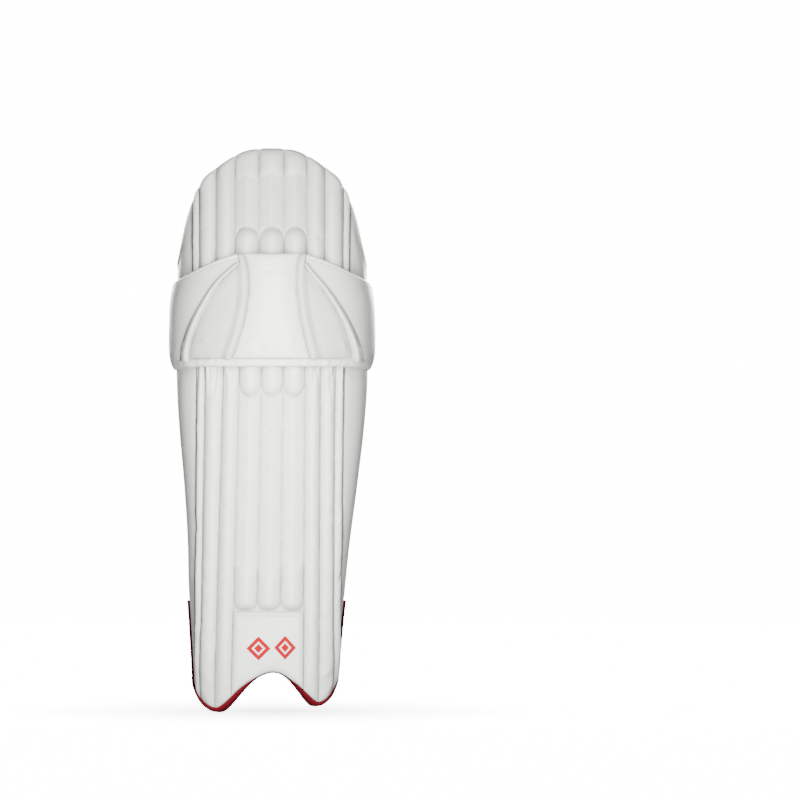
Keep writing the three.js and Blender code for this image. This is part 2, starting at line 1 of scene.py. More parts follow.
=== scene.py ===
"""Looks of the cricket leg pad: padded leather rolls, panels and wings, bound edges, linings and webbing straps.

Shapes are worked out in millimetres on the pad's three shells and written in metres.
"""

import json
import math

import bpy
import numpy as np
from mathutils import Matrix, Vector


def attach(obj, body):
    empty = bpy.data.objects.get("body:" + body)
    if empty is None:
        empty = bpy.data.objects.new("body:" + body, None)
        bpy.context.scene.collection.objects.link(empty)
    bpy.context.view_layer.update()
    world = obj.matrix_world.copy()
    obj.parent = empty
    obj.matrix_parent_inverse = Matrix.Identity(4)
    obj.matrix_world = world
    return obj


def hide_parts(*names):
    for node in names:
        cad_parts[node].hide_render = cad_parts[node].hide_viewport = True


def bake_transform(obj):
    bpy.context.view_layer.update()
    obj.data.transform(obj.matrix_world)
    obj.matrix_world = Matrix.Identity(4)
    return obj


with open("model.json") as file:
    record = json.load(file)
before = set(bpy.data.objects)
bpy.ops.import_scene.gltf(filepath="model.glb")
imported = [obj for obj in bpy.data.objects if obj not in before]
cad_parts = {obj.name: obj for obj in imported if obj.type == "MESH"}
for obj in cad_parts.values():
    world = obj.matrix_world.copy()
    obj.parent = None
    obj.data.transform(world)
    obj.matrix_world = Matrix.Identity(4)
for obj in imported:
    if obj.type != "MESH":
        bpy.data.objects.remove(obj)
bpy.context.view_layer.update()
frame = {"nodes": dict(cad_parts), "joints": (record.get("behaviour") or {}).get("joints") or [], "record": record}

MM = 0.001
BODIES = frame["record"]["behaviour"]["bodies"]
BODY_OF = {node: body for body, nodes in BODIES.items() for node in nodes}

# ---------------------------------------------------------------- shells

WING_DEPTH, WING_CURL, FULLNESS = 72.0, 0.18, 2.4
HEIGHT, KNEE_LOW, KNEE_HIGH, SHIN_TOP = 701.0, 430.0, 570.5, 468.0


def curve(*stations):
    """A smooth curve through stations (position, value)."""
    xs, vs = np.array(stations, float).T
    index = np.arange(len(xs))
    before, after = np.maximum(index - 1, 0), np.minimum(index + 1, len(xs) - 1)
    slope = (vs[after] - vs[before]) / (xs[after] - xs[before])

    def at(x):
        x = np.clip(np.asarray(x, float), xs[0], xs[-1])
        i = np.clip(np.searchsorted(xs, x, side="right") - 1, 0, len(xs) - 2)
        span = xs[i + 1] - xs[i]
        t = (x - xs[i]) / span
        a = vs[i] * (2 * t**3 - 3 * t**2 + 1) + vs[i + 1] * (3 * t**2 - 2 * t**3)
        return a + span * (slope[i] * (t**3 - 2 * t**2 + t) + slope[i + 1] * (t**3 - t**2))

    return at


def step(x, low, high):
    t = np.clip((np.asarray(x, float) - low) / (high - low), 0, 1)
    return t * t * (3 - 2 * t)


def evenly(value):
    return lambda z: value + 0 * np.asarray(z, float)


def unit(vectors):
    return vectors / np.linalg.norm(vectors, axis=-1, keepdims=True)


def distances(points):
    """How far along a path each of its points lies."""
    return np.concatenate([[0], np.cumsum(np.linalg.norm(np.diff(points, axis=0), axis=-1))])


def by_place(lines, z=300):
    """Lines sorted from left to right, by where they are at a height."""
    return sorted(lines, key=lambda line: float(line(z)))


class Shell:
    """A U in plan at each height. Round it, w is 0 at the front, 1 at the widest line and more along a wing."""

    def __init__(self, half, shift, depth):
        self.half, self.shift, self.depth = half, shift, depth

    def point(self, w, z):
        w, z = np.broadcast_arrays(np.asarray(w, float), np.asarray(z, float))
        a, b, c = self.half(z), self.depth(z), self.shift(z)
        side = np.where(w < 0, -1.0, 1.0)
        beyond = np.maximum(np.abs(w) - 1, 0)
        angle = np.clip(w, -1, 1) * math.pi / 2
        s, k = np.sin(angle), np.cos(angle)
        r = (np.abs(s / a) ** FULLNESS + np.abs(k / b) ** FULLNESS) ** (-1 / FULLNESS)
        x = c + np.where(beyond > 0, side * a * (1 - WING_CURL * beyond**2), r * s)
        y = np.where(beyond > 0, WING_DEPTH * beyond, -r * k)
        return np.stack([x, y, z], -1)

    def normal(self, w, z):
        across = self.point(w + 0.004, z) - self.point(w - 0.004, z)
        up = self.point(w, z + 1) - self.point(w, z - 1)
        return unit(np.cross(across, up))

    def raised(self, w, z, d):
        return self.point(w, z) + self.normal(w, z) * np.asarray(d, float)[..., None]

    def place(self, x, z):
        out = x - self.shift(z)
        share = np.minimum(np.abs(out) / self.half(z), 0.9995)
        front = self.depth(z) * (1 - share**FULLNESS) ** (1 / FULLNESS)
        return np.sign(out) * np.arctan2(np.abs(out), front) * 2 / math.pi

    def at(self, x):
        """The place round the shell of a line given as x for each height."""
        return lambda z: self.place(x(z), z)


SHIN = Shell(
    curve((0, 88), (48, 89.5), (112, 94), (150, 97.5), (210, 101.5), (300, 110), (347, 115), (400, 119), (468, 120)),
    curve((0, -8.6), (48, -8.2), (150, -6.4), (210, -4), (300, -1.2), (400, 0), (468, 0)),
    curve((0, 64), (60, 60), (150, 60), (300, 66), (430, 74), (468, 75)),
)
KNEE = Shell(
    curve((400, 122), (430, 125.5), (450, 127.5), (498, 127.5), (520, 126), (540, 122.3), (575, 118.8)),
    evenly(0),
    curve((400, 86), (440, 92), (480, 96), (530, 94), (575, 88)),
)
THIGH = Shell(
    curve((500, 119), (540, 118.6), (560, 117.3), (580, 115.5), (625, 112), (680, 106), (705, 103)),
    evenly(0),
    curve((500, 72), (560, 73), (620, 72), (705, 63)),
)

# The pad's bottom edge: two lobes and the arch between them.
ARCH, LOBES = (3.0, 51.0), ((-67.0, 1.5, 31.5, 46.0), (57.0, 8.5, 24.5, 40.0))


def bottom_edge(x):
    x = np.asarray(x, float)
    pick = x < ARCH[0]
    lx, lz, side, rise = (np.where(pick, a, b) for a, b in zip(*LOBES))
    inwards = (x - lx) / (ARCH[0] - lx)
    arch = lz + (ARCH[1] - lz) * (1 - np.cos(math.pi * np.clip(inwards, 0, 1) ** 0.8)) / 2
    outwards = np.minimum(np.abs(x - lx) / side, 1)
    return np.where(inwards >= 0, arch, lz + rise * (1 - np.sqrt(1 - outwards**2)))


def tape_width(x):
    """How far the binding reaches onto the face: full at the lobes, narrow over the arch."""
    return 1.2 + 4.3 * np.exp(-(((x + 64) / 37) ** 4)) + 4.1 * np.exp(-(((x - 58) / 28) ** 4))


def inside_edge(x, more=0.0):
    """The lower end of the layers, just under the binding."""
    before, after = (SHIN.point(SHIN.place(x + d, bottom_edge(x + d)), bottom_edge(x + d)) for d in (-0.5, 0.5))
    gap = after - before
    slope = np.abs(gap[..., 2]) / np.hypot(gap[..., 0], gap[..., 1])
    distance = np.maximum(tape_width(x) - 0.9, 0.5) + more
    return bottom_edge(x) + distance * np.hypot(1, np.minimum(slope, 3))


DOME = curve(
    (0, HEIGHT), (12, 700.7), (24, 699.4), (34, 697), (44, 692.5), (54, 686.5), (73, 673), (86, 659), (94.5, 644),
    (101, 629), (106, 613), (110, 595), (115, 570), (119, 550),
)
FLAP_SEAMS = (-44.0, -14.5, 16.3, 44.0)  # between the thigh flap's centre rolls, as x


def dome_edge(x):
    """The thigh flap's top edge, drawn in a little at each seam."""
    x = np.asarray(x, float)
    notches = sum(np.exp(-(((x - seam) / 3.0) ** 2)) for seam in FLAP_SEAMS)
    return DOME(np.abs(x)) - 0.9 * notches


def flap_top(w):
    """The same edge as a height for each place round the flap, falling along its wings."""
    onto = np.clip(w, -1, 1)
    z = 640 + 0 * onto
    for _ in range(8):
        z = z + 0.6 * (dome_edge(THIGH.point(onto, z)[..., 0]) - z)
    return z - 26 * np.maximum(np.abs(w) - 1, 0)


def band_top(w):
    x = np.abs(KNEE.point(np.clip(w, -1, 1), 540 + 0 * w)[..., 0])
    return KNEE_HIGH - 34 * np.maximum((x - 38) / 82, 0) ** 1.4 - 14 * np.maximum(np.abs(w) - 1, 0)


def tucked(w):
    """Where the band's lower edge draws in beside the shin: 1 at its sides, 0 in front and along the wings."""
    return step(np.abs(w), 0.62, 0.8) * (1 - step(np.abs(w), 1.0, 1.25))


def band_bottom(w):
    return KNEE_LOW - 4.5 * step(np.abs(w), 0.5, 1) + 34 * np.maximum(np.abs(w) - 1, 0)


# ---------------------------------------------------------------- irregularity


def ripple(u, v, size, seed):
    """Smooth noise of about -1 to 1 with features of the given size, the same every time."""
    rng = np.random.default_rng(seed)
    total = 0.0
    for _ in range(7):
        angle, phase = rng.uniform(0, math.pi), rng.uniform(0, 2 * math.pi)
        rate = rng.uniform(0.6, 1.5) * math.pi / size
        total = total + np.sin(rate * (u * math.cos(angle) + v * math.sin(angle)) + phase)
    return total / 3.2


def seed_of(name):
    return sum((i + 1) * ord(c) for i, c in enumerate(name))


def rounded(distance, radius):
    """0 at an edge, rising like a quarter circle to 1 at the radius."""
    t = np.clip(np.asarray(distance, float) / radius, 0, 1)
    return np.sqrt(1 - (1 - t) ** 2)


# ---------------------------------------------------------------- materials


class Finish:
    """A node material under construction."""

    def __init__(self, name):
        self.material = bpy.data.materials.new(name)
        self.material.use_nodes = True
        self.tree = self.material.node_tree
        self.tree.nodes.clear()
        self.out = self.add("ShaderNodeOutputMaterial")
        self.where = self.add("ShaderNodeTexCoord").outputs["Object"]

    def add(self, kind, inputs=None, **settings):
        node = self.tree.nodes.new(kind)
        for key, value in settings.items():
            setattr(node, key, value)
        for key, value in (inputs or {}).items():
            if isinstance(value, bpy.types.NodeSocket):
                self.tree.links.new(value, node.inputs[key])
            else:
                node.inputs[key].default_value = value
        return node

    def noise(self, scale, detail=3.0):
        inputs = {"Vector": self.where, "Scale": scale, "Detail": detail}
        return self.add("ShaderNodeTexNoise", inputs).outputs["Fac"]

    def cells(self, scale, feature="F1"):
        inputs = {"Vector": self.where, "Scale": scale}
        return self.add("ShaderNodeTexVoronoi", inputs, feature=feature).outputs["Distance"]

    def maths(self, operation, a, b=0.0):
        return self.add("ShaderNodeMath", {0: a, 1: b}, operation=operation).outputs[0]

    def spread(self, value, low, high, to_low=0.0, to_high=1.0):
        inputs = {"Value": value, "From Min": low, "From Max": high, "To Min": to_low, "To Max": to_high}
        return self.add("ShaderNodeMapRange", inputs).outputs["Result"]

    def mix(self, factor, a, b):
        node = self.add("ShaderNodeMix", data_type="RGBA")
        for index, value in ((0, factor), (6, a), (7, b)):
            if isinstance(value, bpy.types.NodeSocket):
                self.tree.links.new(value, node.inputs[index])
            else:
                node.inputs[index].default_value = value
        return node.outputs[2]

    def bump(self, height, distance, strength=1.0, under=None):
        inputs = {"Height": height, "Distance": distance, "Strength": strength}
        if under is not None:
            inputs["Normal"] = under
        return self.add("ShaderNodeBump", inputs).outputs["Normal"]

    def surface(self, colour, roughness, normal, **more):
        inputs = {"Base Color": colour, "Roughness": roughness, "Normal": normal, **more}
        shader = self.add("ShaderNodeBsdfPrincipled", inputs)
        self.tree.links.new(shader.outputs[0], self.out.inputs["Surface"])
        return self.material


def shade(r, g, b):
    return (r, g, b, 1.0)


def leather(name, colour, shade_and_scuff_colour, grain=0.00007, gloss=0.4):
    """Synthetic leather: fine grain, faint mottling, soft dents, scuffs and a painted shade that greys it along its
    seams and creases.
    """
    f = Finish(name)
    broad = f.noise(14.0, 4.0)
    cells = f.cells(1150.0, "SMOOTH_F1")
    pores = f.noise(2300.0, 2.0)
    dents = f.noise(55.0, 3.0)
    scuffs = f.spread(f.noise(240.0, 6.0), 0.66, 0.74)
    seam = f.add("ShaderNodeAttribute", attribute_name="seam").outputs["Fac"]
    # painted shade: the seam mask, made uneven by noise, greys the leather along its seams and creases, where shade
    # falls
    seam_shade = f.maths("MULTIPLY", seam, f.spread(f.noise(90.0, 4.0), 0.3, 0.7, 0.55, 1.0))
    tint = f.mix(f.spread(broad, 0.3, 0.7), colour, tuple(0.965 * c for c in colour[:3]) + (1.0,))
    tint = f.mix(f.maths("MULTIPLY", scuffs, 0.16), tint, shade_and_scuff_colour)
    tint = f.mix(f.maths("MULTIPLY", seam_shade, 0.85), tint, shade_and_scuff_colour)
    roughness = f.maths("ADD", f.spread(broad, 0.3, 0.7, gloss - 0.05, gloss + 0.07), f.maths("MULTIPLY", scuffs, 0.2))
    normal = f.bump(dents, 0.0012, 0.35)
    normal = f.bump(cells, grain, 0.8, normal)
    normal = f.bump(pores, grain * 0.5, 0.6, normal)
    return f.surface(tint, roughness, normal, **{"Specular IOR Level": 0.45})


def cloth(name, colour, thread, period, turn=0.0, depth=0.00025, fuzz=0.15, shine=0.5):
    """Woven cloth, webbing or tape: two sets of threads crossing, uneven threads and a soft sheen."""
    f = Finish(name)
    flat = f.add("ShaderNodeUVMap", uv_map="weave").outputs["UV"]
    flat = f.add("ShaderNodeMapping", {"Vector": flat, "Rotation": (0.0, 0.0, turn)}).outputs["Vector"]
    rate = math.pi / 10 / period
    wave = {"Vector": flat, "Scale": rate, "Distortion": 0.35, "Detail": 1.0}
    waves = [f.add("ShaderNodeTexWave", wave, bands_direction=direction) for direction in ("X", "Y")]
    warp, weft = (w.outputs["Fac"] for w in waves)
    weave = f.maths("ABSOLUTE", f.maths("SUBTRACT", warp, weft))
    uneven = f.noise(420.0, 4.0)
    worn = f.noise(35.0, 4.0)
    tint = f.mix(f.spread(weave, 0.0, 1.0), thread, colour)
    tint = f.mix(f.spread(worn, 0.45, 0.75, 0.0, 0.3), tint, thread)
    normal = f.bump(weave, depth, 0.9)
    normal = f.bump(uneven, depth * 0.8, 0.5, normal)
    sheen = {"Sheen Weight": fuzz, "Sheen Roughness": 0.5, "Specular IOR Level": shine}
    return f.surface(tint, f.spread(uneven, 0.2, 0.8, 0.75, 0.95), normal, **sheen)


def tape(name, colour, dark, cell, depth):
    """Hook or loop tape: a close pile of small tufts."""
    f = Finish(name)
    tufts = f.cells(1 / cell)
    fuzz = f.noise(2600.0, 3.0)
    tint = f.mix(f.spread(tufts, 0.1, 0.7), colour, dark)
    normal = f.bump(fuzz, depth * 0.5, 0.7, f.bump(tufts, depth, 1.0))
    return f.surface(tint, 0.95, normal, **{"Sheen Weight": 0.3})


def plain(name, colour, dark, scale, depth, gloss=0.9, shine=0.5):
    """A cell or fibre texture for the foam and board that the cover hides."""
    f = Finish(name)
    cells = f.cells(scale)
    mottled = f.noise(60.0, 4.0)
    tint = f.mix(f.spread(mottled, 0.3, 0.7), colour, dark)
    return f.surface(tint, gloss, f.bump(cells, depth, 0.8), **{"Specular IOR Level": shine})


WHITE = shade(0.80, 0.81, 0.745)
# the grey the leather takes in its scuffs and in its painted shade along seams and creases
SHADE_AND_SCUFF_GREY = shade(0.33, 0.335, 0.29)
LOOKS = {
    "leather": leather("white_leather", WHITE, SHADE_AND_SCUFF_GREY),
    # lit and shaded copies of the white leather: the thigh, the knee leaves and the sides are painted darker and the
    # knee is painted lighter, standing for how the light falls off across the pad
    "thigh_shaded_leather": leather("thigh_shaded_leather", shade(0.63, 0.635, 0.585), SHADE_AND_SCUFF_GREY),
    "knee_leather": leather("knee_leather", shade(0.83, 0.835, 0.785), SHADE_AND_SCUFF_GREY, 0.00005, 0.37),
    "leaf_shaded_leather": leather("leaf_shaded_leather", shade(0.60, 0.61, 0.565), SHADE_AND_SCUFF_GREY, 0.00005, 0.37),
    "side_shaded_leather": leather("side_shaded_leather", shade(0.74, 0.75, 0.69), SHADE_AND_SCUFF_GREY),
    "lining": cloth("lining_knit", shade(0.72, 0.71, 0.66), shade(0.5, 0.49, 0.45), 0.0016, 0.6, 0.0003, 0.35),
    "webbing": cloth("strap_webbing", shade(0.74, 0.745, 0.72), shade(0.48, 0.48, 0.46), 0.0022, 0.0, 0.0004),
    "edging": cloth("white_edging", shade(0.76, 0.765, 0.745), shade(0.55, 0.55, 0.53), 0.0011, 0.78, 0.00018),
    "binding": cloth(
        "red_binding", shade(0.175, 0.002, 0.009), shade(0.085, 0.002, 0.006), 0.0011, 0.78, 0.0002, 0.0, 0.1
    ),
    "thread": cloth("white_thread", shade(0.78, 0.78, 0.75), shade(0.55, 0.55, 0.53), 0.0004, 0.5, 0.00005),
    "red_thread": cloth("red_thread", shade(0.13, 0.006, 0.012), shade(0.07, 0.004, 0.008), 0.0004, 0.5, 0.00005),
    "print": plain("red_print", shade(0.40, 0.0, 0.008), shade(0.34, 0.0, 0.008), 900.0, 0.00003, 0.7, 0.1),
    "hook": tape("hook_tape", shade(0.68, 0.69, 0.68), shade(0.4, 0.4, 0.4), 0.0011, 0.0005),
    "loop": tape("loop_tape", shade(0.74, 0.745, 0.74), shade(0.5, 0.5, 0.5), 0.0016, 0.0007),
    "foam": plain("grey_foam", shade(0.27, 0.28, 0.3), shade(0.2, 0.21, 0.23), 700.0, 0.0005),
    "stiffener": plain("fibre_board", shade(0.62, 0.58, 0.47), shade(0.5, 0.46, 0.37), 300.0, 0.0002, 0.7),
}

# ---------------------------------------------------------------- solids from grids


def lay_weave(mesh, uv):
    """Gives a woven look its own directions, as metres along the cloth for each point."""
    corner = np.zeros(len(mesh.loops), np.int32)
    mesh.loops.foreach_get("vertex_index", corner)
    mesh.uv_layers.new(name="weave").data.foreach_set("uv", uv[corner].astype(np.float32).ravel())


def build(name, points, faces, materials, body, replaces=(), uv=None, seam=None, pick=None, angle=50):
    mesh = bpy.data.meshes.new(name)
    mesh.from_pydata((np.asarray(points) * MM).tolist(), [], faces)
    mesh.validate()
    for look in materials:
        mesh.materials.append(LOOKS[look])
    if pick is not None and len(mesh.polygons) == len(pick):
        mesh.polygons.foreach_set("material_index", np.asarray(pick, np.int32))
    if uv is not None:
        lay_weave(mesh, np.asarray(uv) * MM)
    # the mask for the leather's painted seam shade, 0 where none is given
    values = np.zeros(len(points), np.float32) if seam is None else np.asarray(seam, np.float32)
    mesh.attributes.new("seam", "FLOAT", "POINT").data.foreach_set("value", values)
    mesh.shade_smooth()
    mesh.set_sharp_from_angle(angle=math.radians(angle))
    obj = bpy.data.objects.new(name, mesh)
    bpy.context.scene.collection.objects.link(obj)
    if body:
        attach(obj, body)
    if replaces:
        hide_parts(*replaces)
    return obj


def slab(nu, nv):
    """The faces of two grids of nu by nv points, one behind the other, and of the rim between them."""
    grid = np.arange(nu * nv).reshape(nu, nv)
    a, b, c, d = (g.ravel() for g in (grid[:-1, :-1], grid[1:, :-1], grid[1:, 1:], grid[:-1, 1:]))
    border = np.concatenate([grid[:, 0], grid[-1, 1:], grid[-2::-1, -1], grid[0, -2:0:-1]])
    onwards, back = np.roll(border, -1), nu * nv
    sides = ([a, b, c, d], [d + back, c + back, b + back, a + back], [border, border + back, onwards + back, onwards])
    return [np.stack(side, 1).tolist() for side in sides]


def outward(points, faces):
    """The faces of a closed surface, turned to look outwards."""
    volume = sum(
        np.dot(points[f[0]], np.cross(points[f[i]], points[f[i + 1]])) for f in faces for i in range(1, len(f) - 1)
    )
    return [f[::-1] for f in faces] if volume < 0 else faces


def weld(points, faces, extra, per_mm=500):
    """Joins points that coincide, drops flat faces and carries the per-point values along."""
    keys = np.round(points * per_mm).astype(np.int64)
    _, first, inverse = np.unique(keys, axis=0, return_index=True, return_inverse=True)
    inverse = inverse.ravel()
    kept, source = [], []
    for number, face in enumerate(faces):
        ring = []
        for i in inverse[list(face)]:
            if not ring or ring[-1] != i:
                ring.append(int(i))
        if len(ring) > 1 and ring[0] == ring[-1]:
            ring.pop()
        if len(set(ring)) > 2:
            kept.append(ring)
            source.append(number)
    return points[first], kept, [e[first] for e in extra], source


CHANNEL = 21.0  # the width of a lining's channels
SEAM_GAP = 0.12  # between neighbouring rolls, on each side of their seam
UNDERSIDE = -0.6  # how far a sewn-on piece sinks into its cover


class Patch:
    """The base grid of a padded piece on a shell, with distances in millimetres from its four sides."""

    def __init__(self, shell, left, right, low, high, nu, nv, even=False):
        t = np.linspace(0, 1, nu + 1)
        p = t if even else (1 - np.cos(math.pi * t)) / 2
        self.p = p[:, None] + np.zeros((1, nv + 1))
        ends = []
        for edge in (low, high):
            z = edge(0 * p)
            for _ in range(8):
                w = left(z) + (right(z) - left(z)) * p
                z = edge(w) if getattr(edge, "round_shell", False) else edge(shell.point(w, z)[..., 0])
            ends.append(z)
        q = np.linspace(0, 1, nv + 1)[None, :]
        self.z = ends[0][:, None] + (ends[1] - ends[0])[:, None] * q
        self.w = left(self.z) + (right(self.z) - left(self.z)) * self.p
        self.shell = shell
        base = shell.point(self.w, self.z)
        self.x = base[..., 0]
        zero = np.zeros((1, nv + 1))
        self.left = np.vstack([zero, np.cumsum(np.linalg.norm(np.diff(base, axis=0), axis=-1), 0)])
        self.right = self.left[-1:] - self.left
        zero = np.zeros((nu + 1, 1))
        self.low = np.hstack([zero, np.cumsum(np.linalg.norm(np.diff(base, axis=1), axis=-1), 1)])
        self.high = self.low[:, -1:] - self.low
        self.side = np.minimum(self.left, self.right)
        self.end = np.minimum(self.low, self.high)

    def edge(self, radius):
        """0 at the border, rising in a quarter circle to 1."""
        return rounded(np.minimum(self.side, self.end), radius)

    def across(self):
        """The place from side to side, from -1 to 1."""
        return np.clip(2 * self.left / self.left[-1:] - 1, -1, 1)


def between(shell, first, second, gap=SEAM_GAP):
    """The two sides of a piece sewn between two seam lines."""
    return shell.at(lambda z: first(z) + gap), shell.at(lambda z: second(z) - gap)


def round_edge(edge):
    """Marks an end as a height for each place round the shell, rather than for each x."""
    edge.round_shell = True
    return edge


def padded_piece(name, patch, top, under, look, body=None, replaces=(), inner=None, flat=None,
                 crease=None):
    """A closed piece between two heights above its patch."""
    body = body or BODY_OF[replaces[0]]
    top, under = top + 0 * patch.z, under + 0 * patch.z
    nu, nv = patch.z.shape
    outer_points = patch.shell.raised(patch.w, patch.z, top)
    if flat is not None:
        outer_points = flat(outer_points)
    points = np.concatenate([outer_points.reshape(-1, 3), patch.shell.raised(patch.w, patch.z, under).reshape(-1, 3)])
    outer, inward, rim = slab(nu, nv)
    faces = outer + inward + rim
    flags = np.repeat([0, 1 if inner else 0, 0], [len(outer), len(inward), len(rim)])
    uv = np.stack([patch.left, patch.low], -1).reshape(-1, 2)
    # the mask for the leather's painted seam shade: 1 at the piece's borders and creases, fading within a few
    # millimetres
    near = np.minimum(patch.side, patch.end)
    near = near if crease is None else np.minimum(near, crease)
    seam = (0.7 * np.exp(-near / 1.4) + 0.34 * np.exp(-near / 6.0)).ravel()
    both = [np.concatenate([uv, uv]), np.concatenate([seam, 0 * seam])]
    points, faces, (uv, seam), source = weld(points, faces, both)
    looks = [look, inner] if inner else [look]
    return build(name, points, faces, looks, body, replaces, uv, seam, flags[source])


def tube(n, m):
    """The faces between n rings of m points."""
    return [
        [k * m + i, k * m + (i + 1) % m, (k + 1) * m + (i + 1) % m, (k + 1) * m + i]
        for k in range(n - 1)
        for i in range(m)
    ]


def along_path(points, normals, section, name, look, body, slot="cover", replaces=()):
    """Sweeps a section, a list of (inwards, outwards) for each path point, along a path on a surface."""
    inwards = unit(np.cross(normals, unit(np.gradient(points, axis=0))))
    section = np.asarray(section, float)
    if section.ndim == 2:
        section = np.broadcast_to(section, (len(points),) + section.shape)
    rings = points[:, None] + inwards[:, None] * section[..., :1] + normals[:, None] * section[..., 1:]
    n, m = rings.shape[:2]
    faces = tube(n, m) + [list(range(m))[::-1], [(n - 1) * m + i for i in range(m)]]
    uv = np.stack(np.broadcast_arrays(distances(points)[:, None], distances(section[0])[None, :]), -1).reshape(-1, 2)
    flat = rings.reshape(-1, 3)
    return build(name, flat, outward(flat, faces), [look], body, replaces, uv=uv, angle=60)


def stitches(name, points, normals, body, look="thread", pitch=3.4, length=2.3, radius=0.32, slot="cover"):
    """A row of raised stitches along a path."""
    run = distances(points)
    count = max(int(run[-1] / pitch), 1)
    places = (np.arange(count) + 0.5) * run[-1] / count

    def sample(s, values):
        return np.stack([np.interp(s, run, values[:, i]) for i in range(3)], -1)

    ahead = unit(sample(places + length / 2, points) - sample(places - length / 2, points))
    centre, up = sample(places, points), sample(places, normals)
    across = unit(np.cross(up, ahead))
    profile = ((-1, 0.0, -0.35), (-0.72, 0.75, 0.0), (0, 1.0, 0.25), (0.72, 0.75, 0.0), (1, 0.0, -0.35))
    ring = [(math.cos(t), math.sin(t)) for t in np.arange(6) * math.pi / 3]
    verts, faces, uv = [], [], []
    for k in range(count):
        start = len(verts)
        for share, fat, lift in profile:
            for c, s in ring:
                offset = across[k] * c * radius * fat + up[k] * (s * radius * fat + lift * radius)
                verts.append(centre[k] + ahead[k] * share * length / 2 + offset)
                uv.append((share * length / 2, c * radius))
        faces += [[start + i for i in face] for face in tube(len(profile), len(ring))]
    verts, faces, (uv,), _ = weld(np.array(verts), faces, [np.array(uv)], 1e5)
    return build(name, verts, faces, [look], body, uv=uv, angle=80)


def traced(shell, ws, zs, height=0.0):
    """Points and normals of a line on a shell."""
    ws, zs = np.broadcast_arrays(np.asarray(ws, float), np.asarray(zs, float))
    return shell.raised(ws, zs, np.full(ws.shape, float(height))), shell.normal(ws, zs)


# ---------------------------------------------------------------- rolls


def line(bottom, at_top, top=KNEE_LOW):
    return lambda z: bottom + (at_top - bottom) * np.asarray(z, float) / top


# the seams of the shin's rolls, from the centre outwards
OUTER_CREASES = [line(-49.5, -38.5), line(-71, -58.5), line(-88, -81), line(-93.5, -91.5)]
INNER_CREASES = [line(39, 42), line(58.5, 61), line(74, 79.5), line(80, 90)]
CREASE_CUT = 2.6  # how deep a finger's stitched end is drawn in
FINGER_FEATHER = 0.45
ROLL_LIMIT = 9.9


def pucker(patch, seed, amount=0.35):
    """Small gathers where the leather is drawn into a seam, and slow unevenness of the stuffing."""
    gathers = ripple(patch.low * 0.7, patch.left * 0.15, 4.5, seed) * np.exp(-patch.side / 2.6)
    slow = ripple(patch.low, patch.left * 0.6, 40, seed + 1)
    dents = ripple(patch.low, patch.left, 13, seed + 2) ** 3
    return amount * gathers + (0.5 * slow + 0.3 * dents) * rounded(patch.side, 6)


def roll_height(patch, height):
    """A stuffed channel: a shallow arch that tucks in at its two seams."""
    u = patch.across()
    return height * (0.5 * (1 - u**2) + 0.5 * np.sqrt(1 - u**2))


def side_roll(node, shell, creases, low, high, height, nv, look):
    """A plain roll beside the centre. On the shin it is pleated where it goes under the knee band."""
    name = f"{node}_soft"
    patch = Patch(shell, *between(shell, *by_place(creases)), low, high, 20, nv)
    if shell is SHIN:
        pleats = ripple(patch.left, patch.low * 0.1, 4.2, seed_of(name) + 7)
        pleats = pleats * np.exp(np.minimum(patch.z - KNEE_LOW, 0) / 17)
        h = roll_height(patch, height * (0.42 + 0.58 * step(patch.z, 6, 74)))
        h = np.minimum(h * (1 + 0.6 * pleats), ROLL_LIMIT) * rounded(patch.low + 0.2, 13)
    else:
        h = roll_height(patch, height) * (0.12 + 0.88 * rounded(patch.high, 11))
    top = 0.45 + h + pucker(patch, seed_of(name)) * step(h, 0.0, 3.0)
    padded_piece(name, patch, top, UNDERSIDE, look, replaces=(node,))


for i, full in enumerate((9.4, 8.8, 5.4)):
    for label, creases in (("outer", OUTER_CREASES), ("inner", INNER_CREASES)):
        node = f"shin_roll_{label}_{i + 1}"
        side_roll(node, SHIN, creases[i : i + 2], inside_edge, evenly(SHIN_TOP - 3), full, 190, "leather")


def finger(patch, start, stop, height, tip, square=2.0, runs_out=1.0):
    """A fat rounded finger between two heights; its ends are round, or its upper one runs out slowly."""
    u = np.abs(patch.across())
    bow = tip * (1 - np.maximum(1 - u**square, 0) ** (1 / square))
    lower, upper = patch.z - start - bow, stop - bow * runs_out - patch.z
    inside = np.minimum(lower, upper * runs_out)
    across = 0.45 * (1 - u**2) + 0.55 * np.sqrt(1 - u**2)
    along = np.clip(inside / tip, 0, 1)
    along = 0.4 * along * (2 - along) + 0.6 * np.sqrt(along * (2 - along))
    return height * across * along, np.abs(lower if runs_out < 1 else inside)


def tent(patch, height):
    """A low rib with a soft ridge, as the flat-stuffed centre rolls have."""
    return height * (1 - np.abs(patch.across()) ** 1.05) ** 0.8


def centre_roll(name, patch, look, height, crease, cut, base):
    """Finishes a centre roll: stitched creases at its fingers' ends, gathers, and the closed piece."""
    h = np.maximum(height - CREASE_CUT * np.exp(-((crease / cut) ** 2)), 0)
    top = base + h + pucker(patch, seed_of(name), 0.3) * step(h, 0.0, 3.0)
    padded_piece(f"{name}_soft", patch, top, UNDERSIDE, look, replaces=(name,), crease=crease)


def centre_line(share):
    """A seam between the centre rolls, at a share of the way from the outer crease to the inner one."""
    return lambda z: OUTER_CREASES[0](z) * (1 - share) + INNER_CREASES[0](z) * share


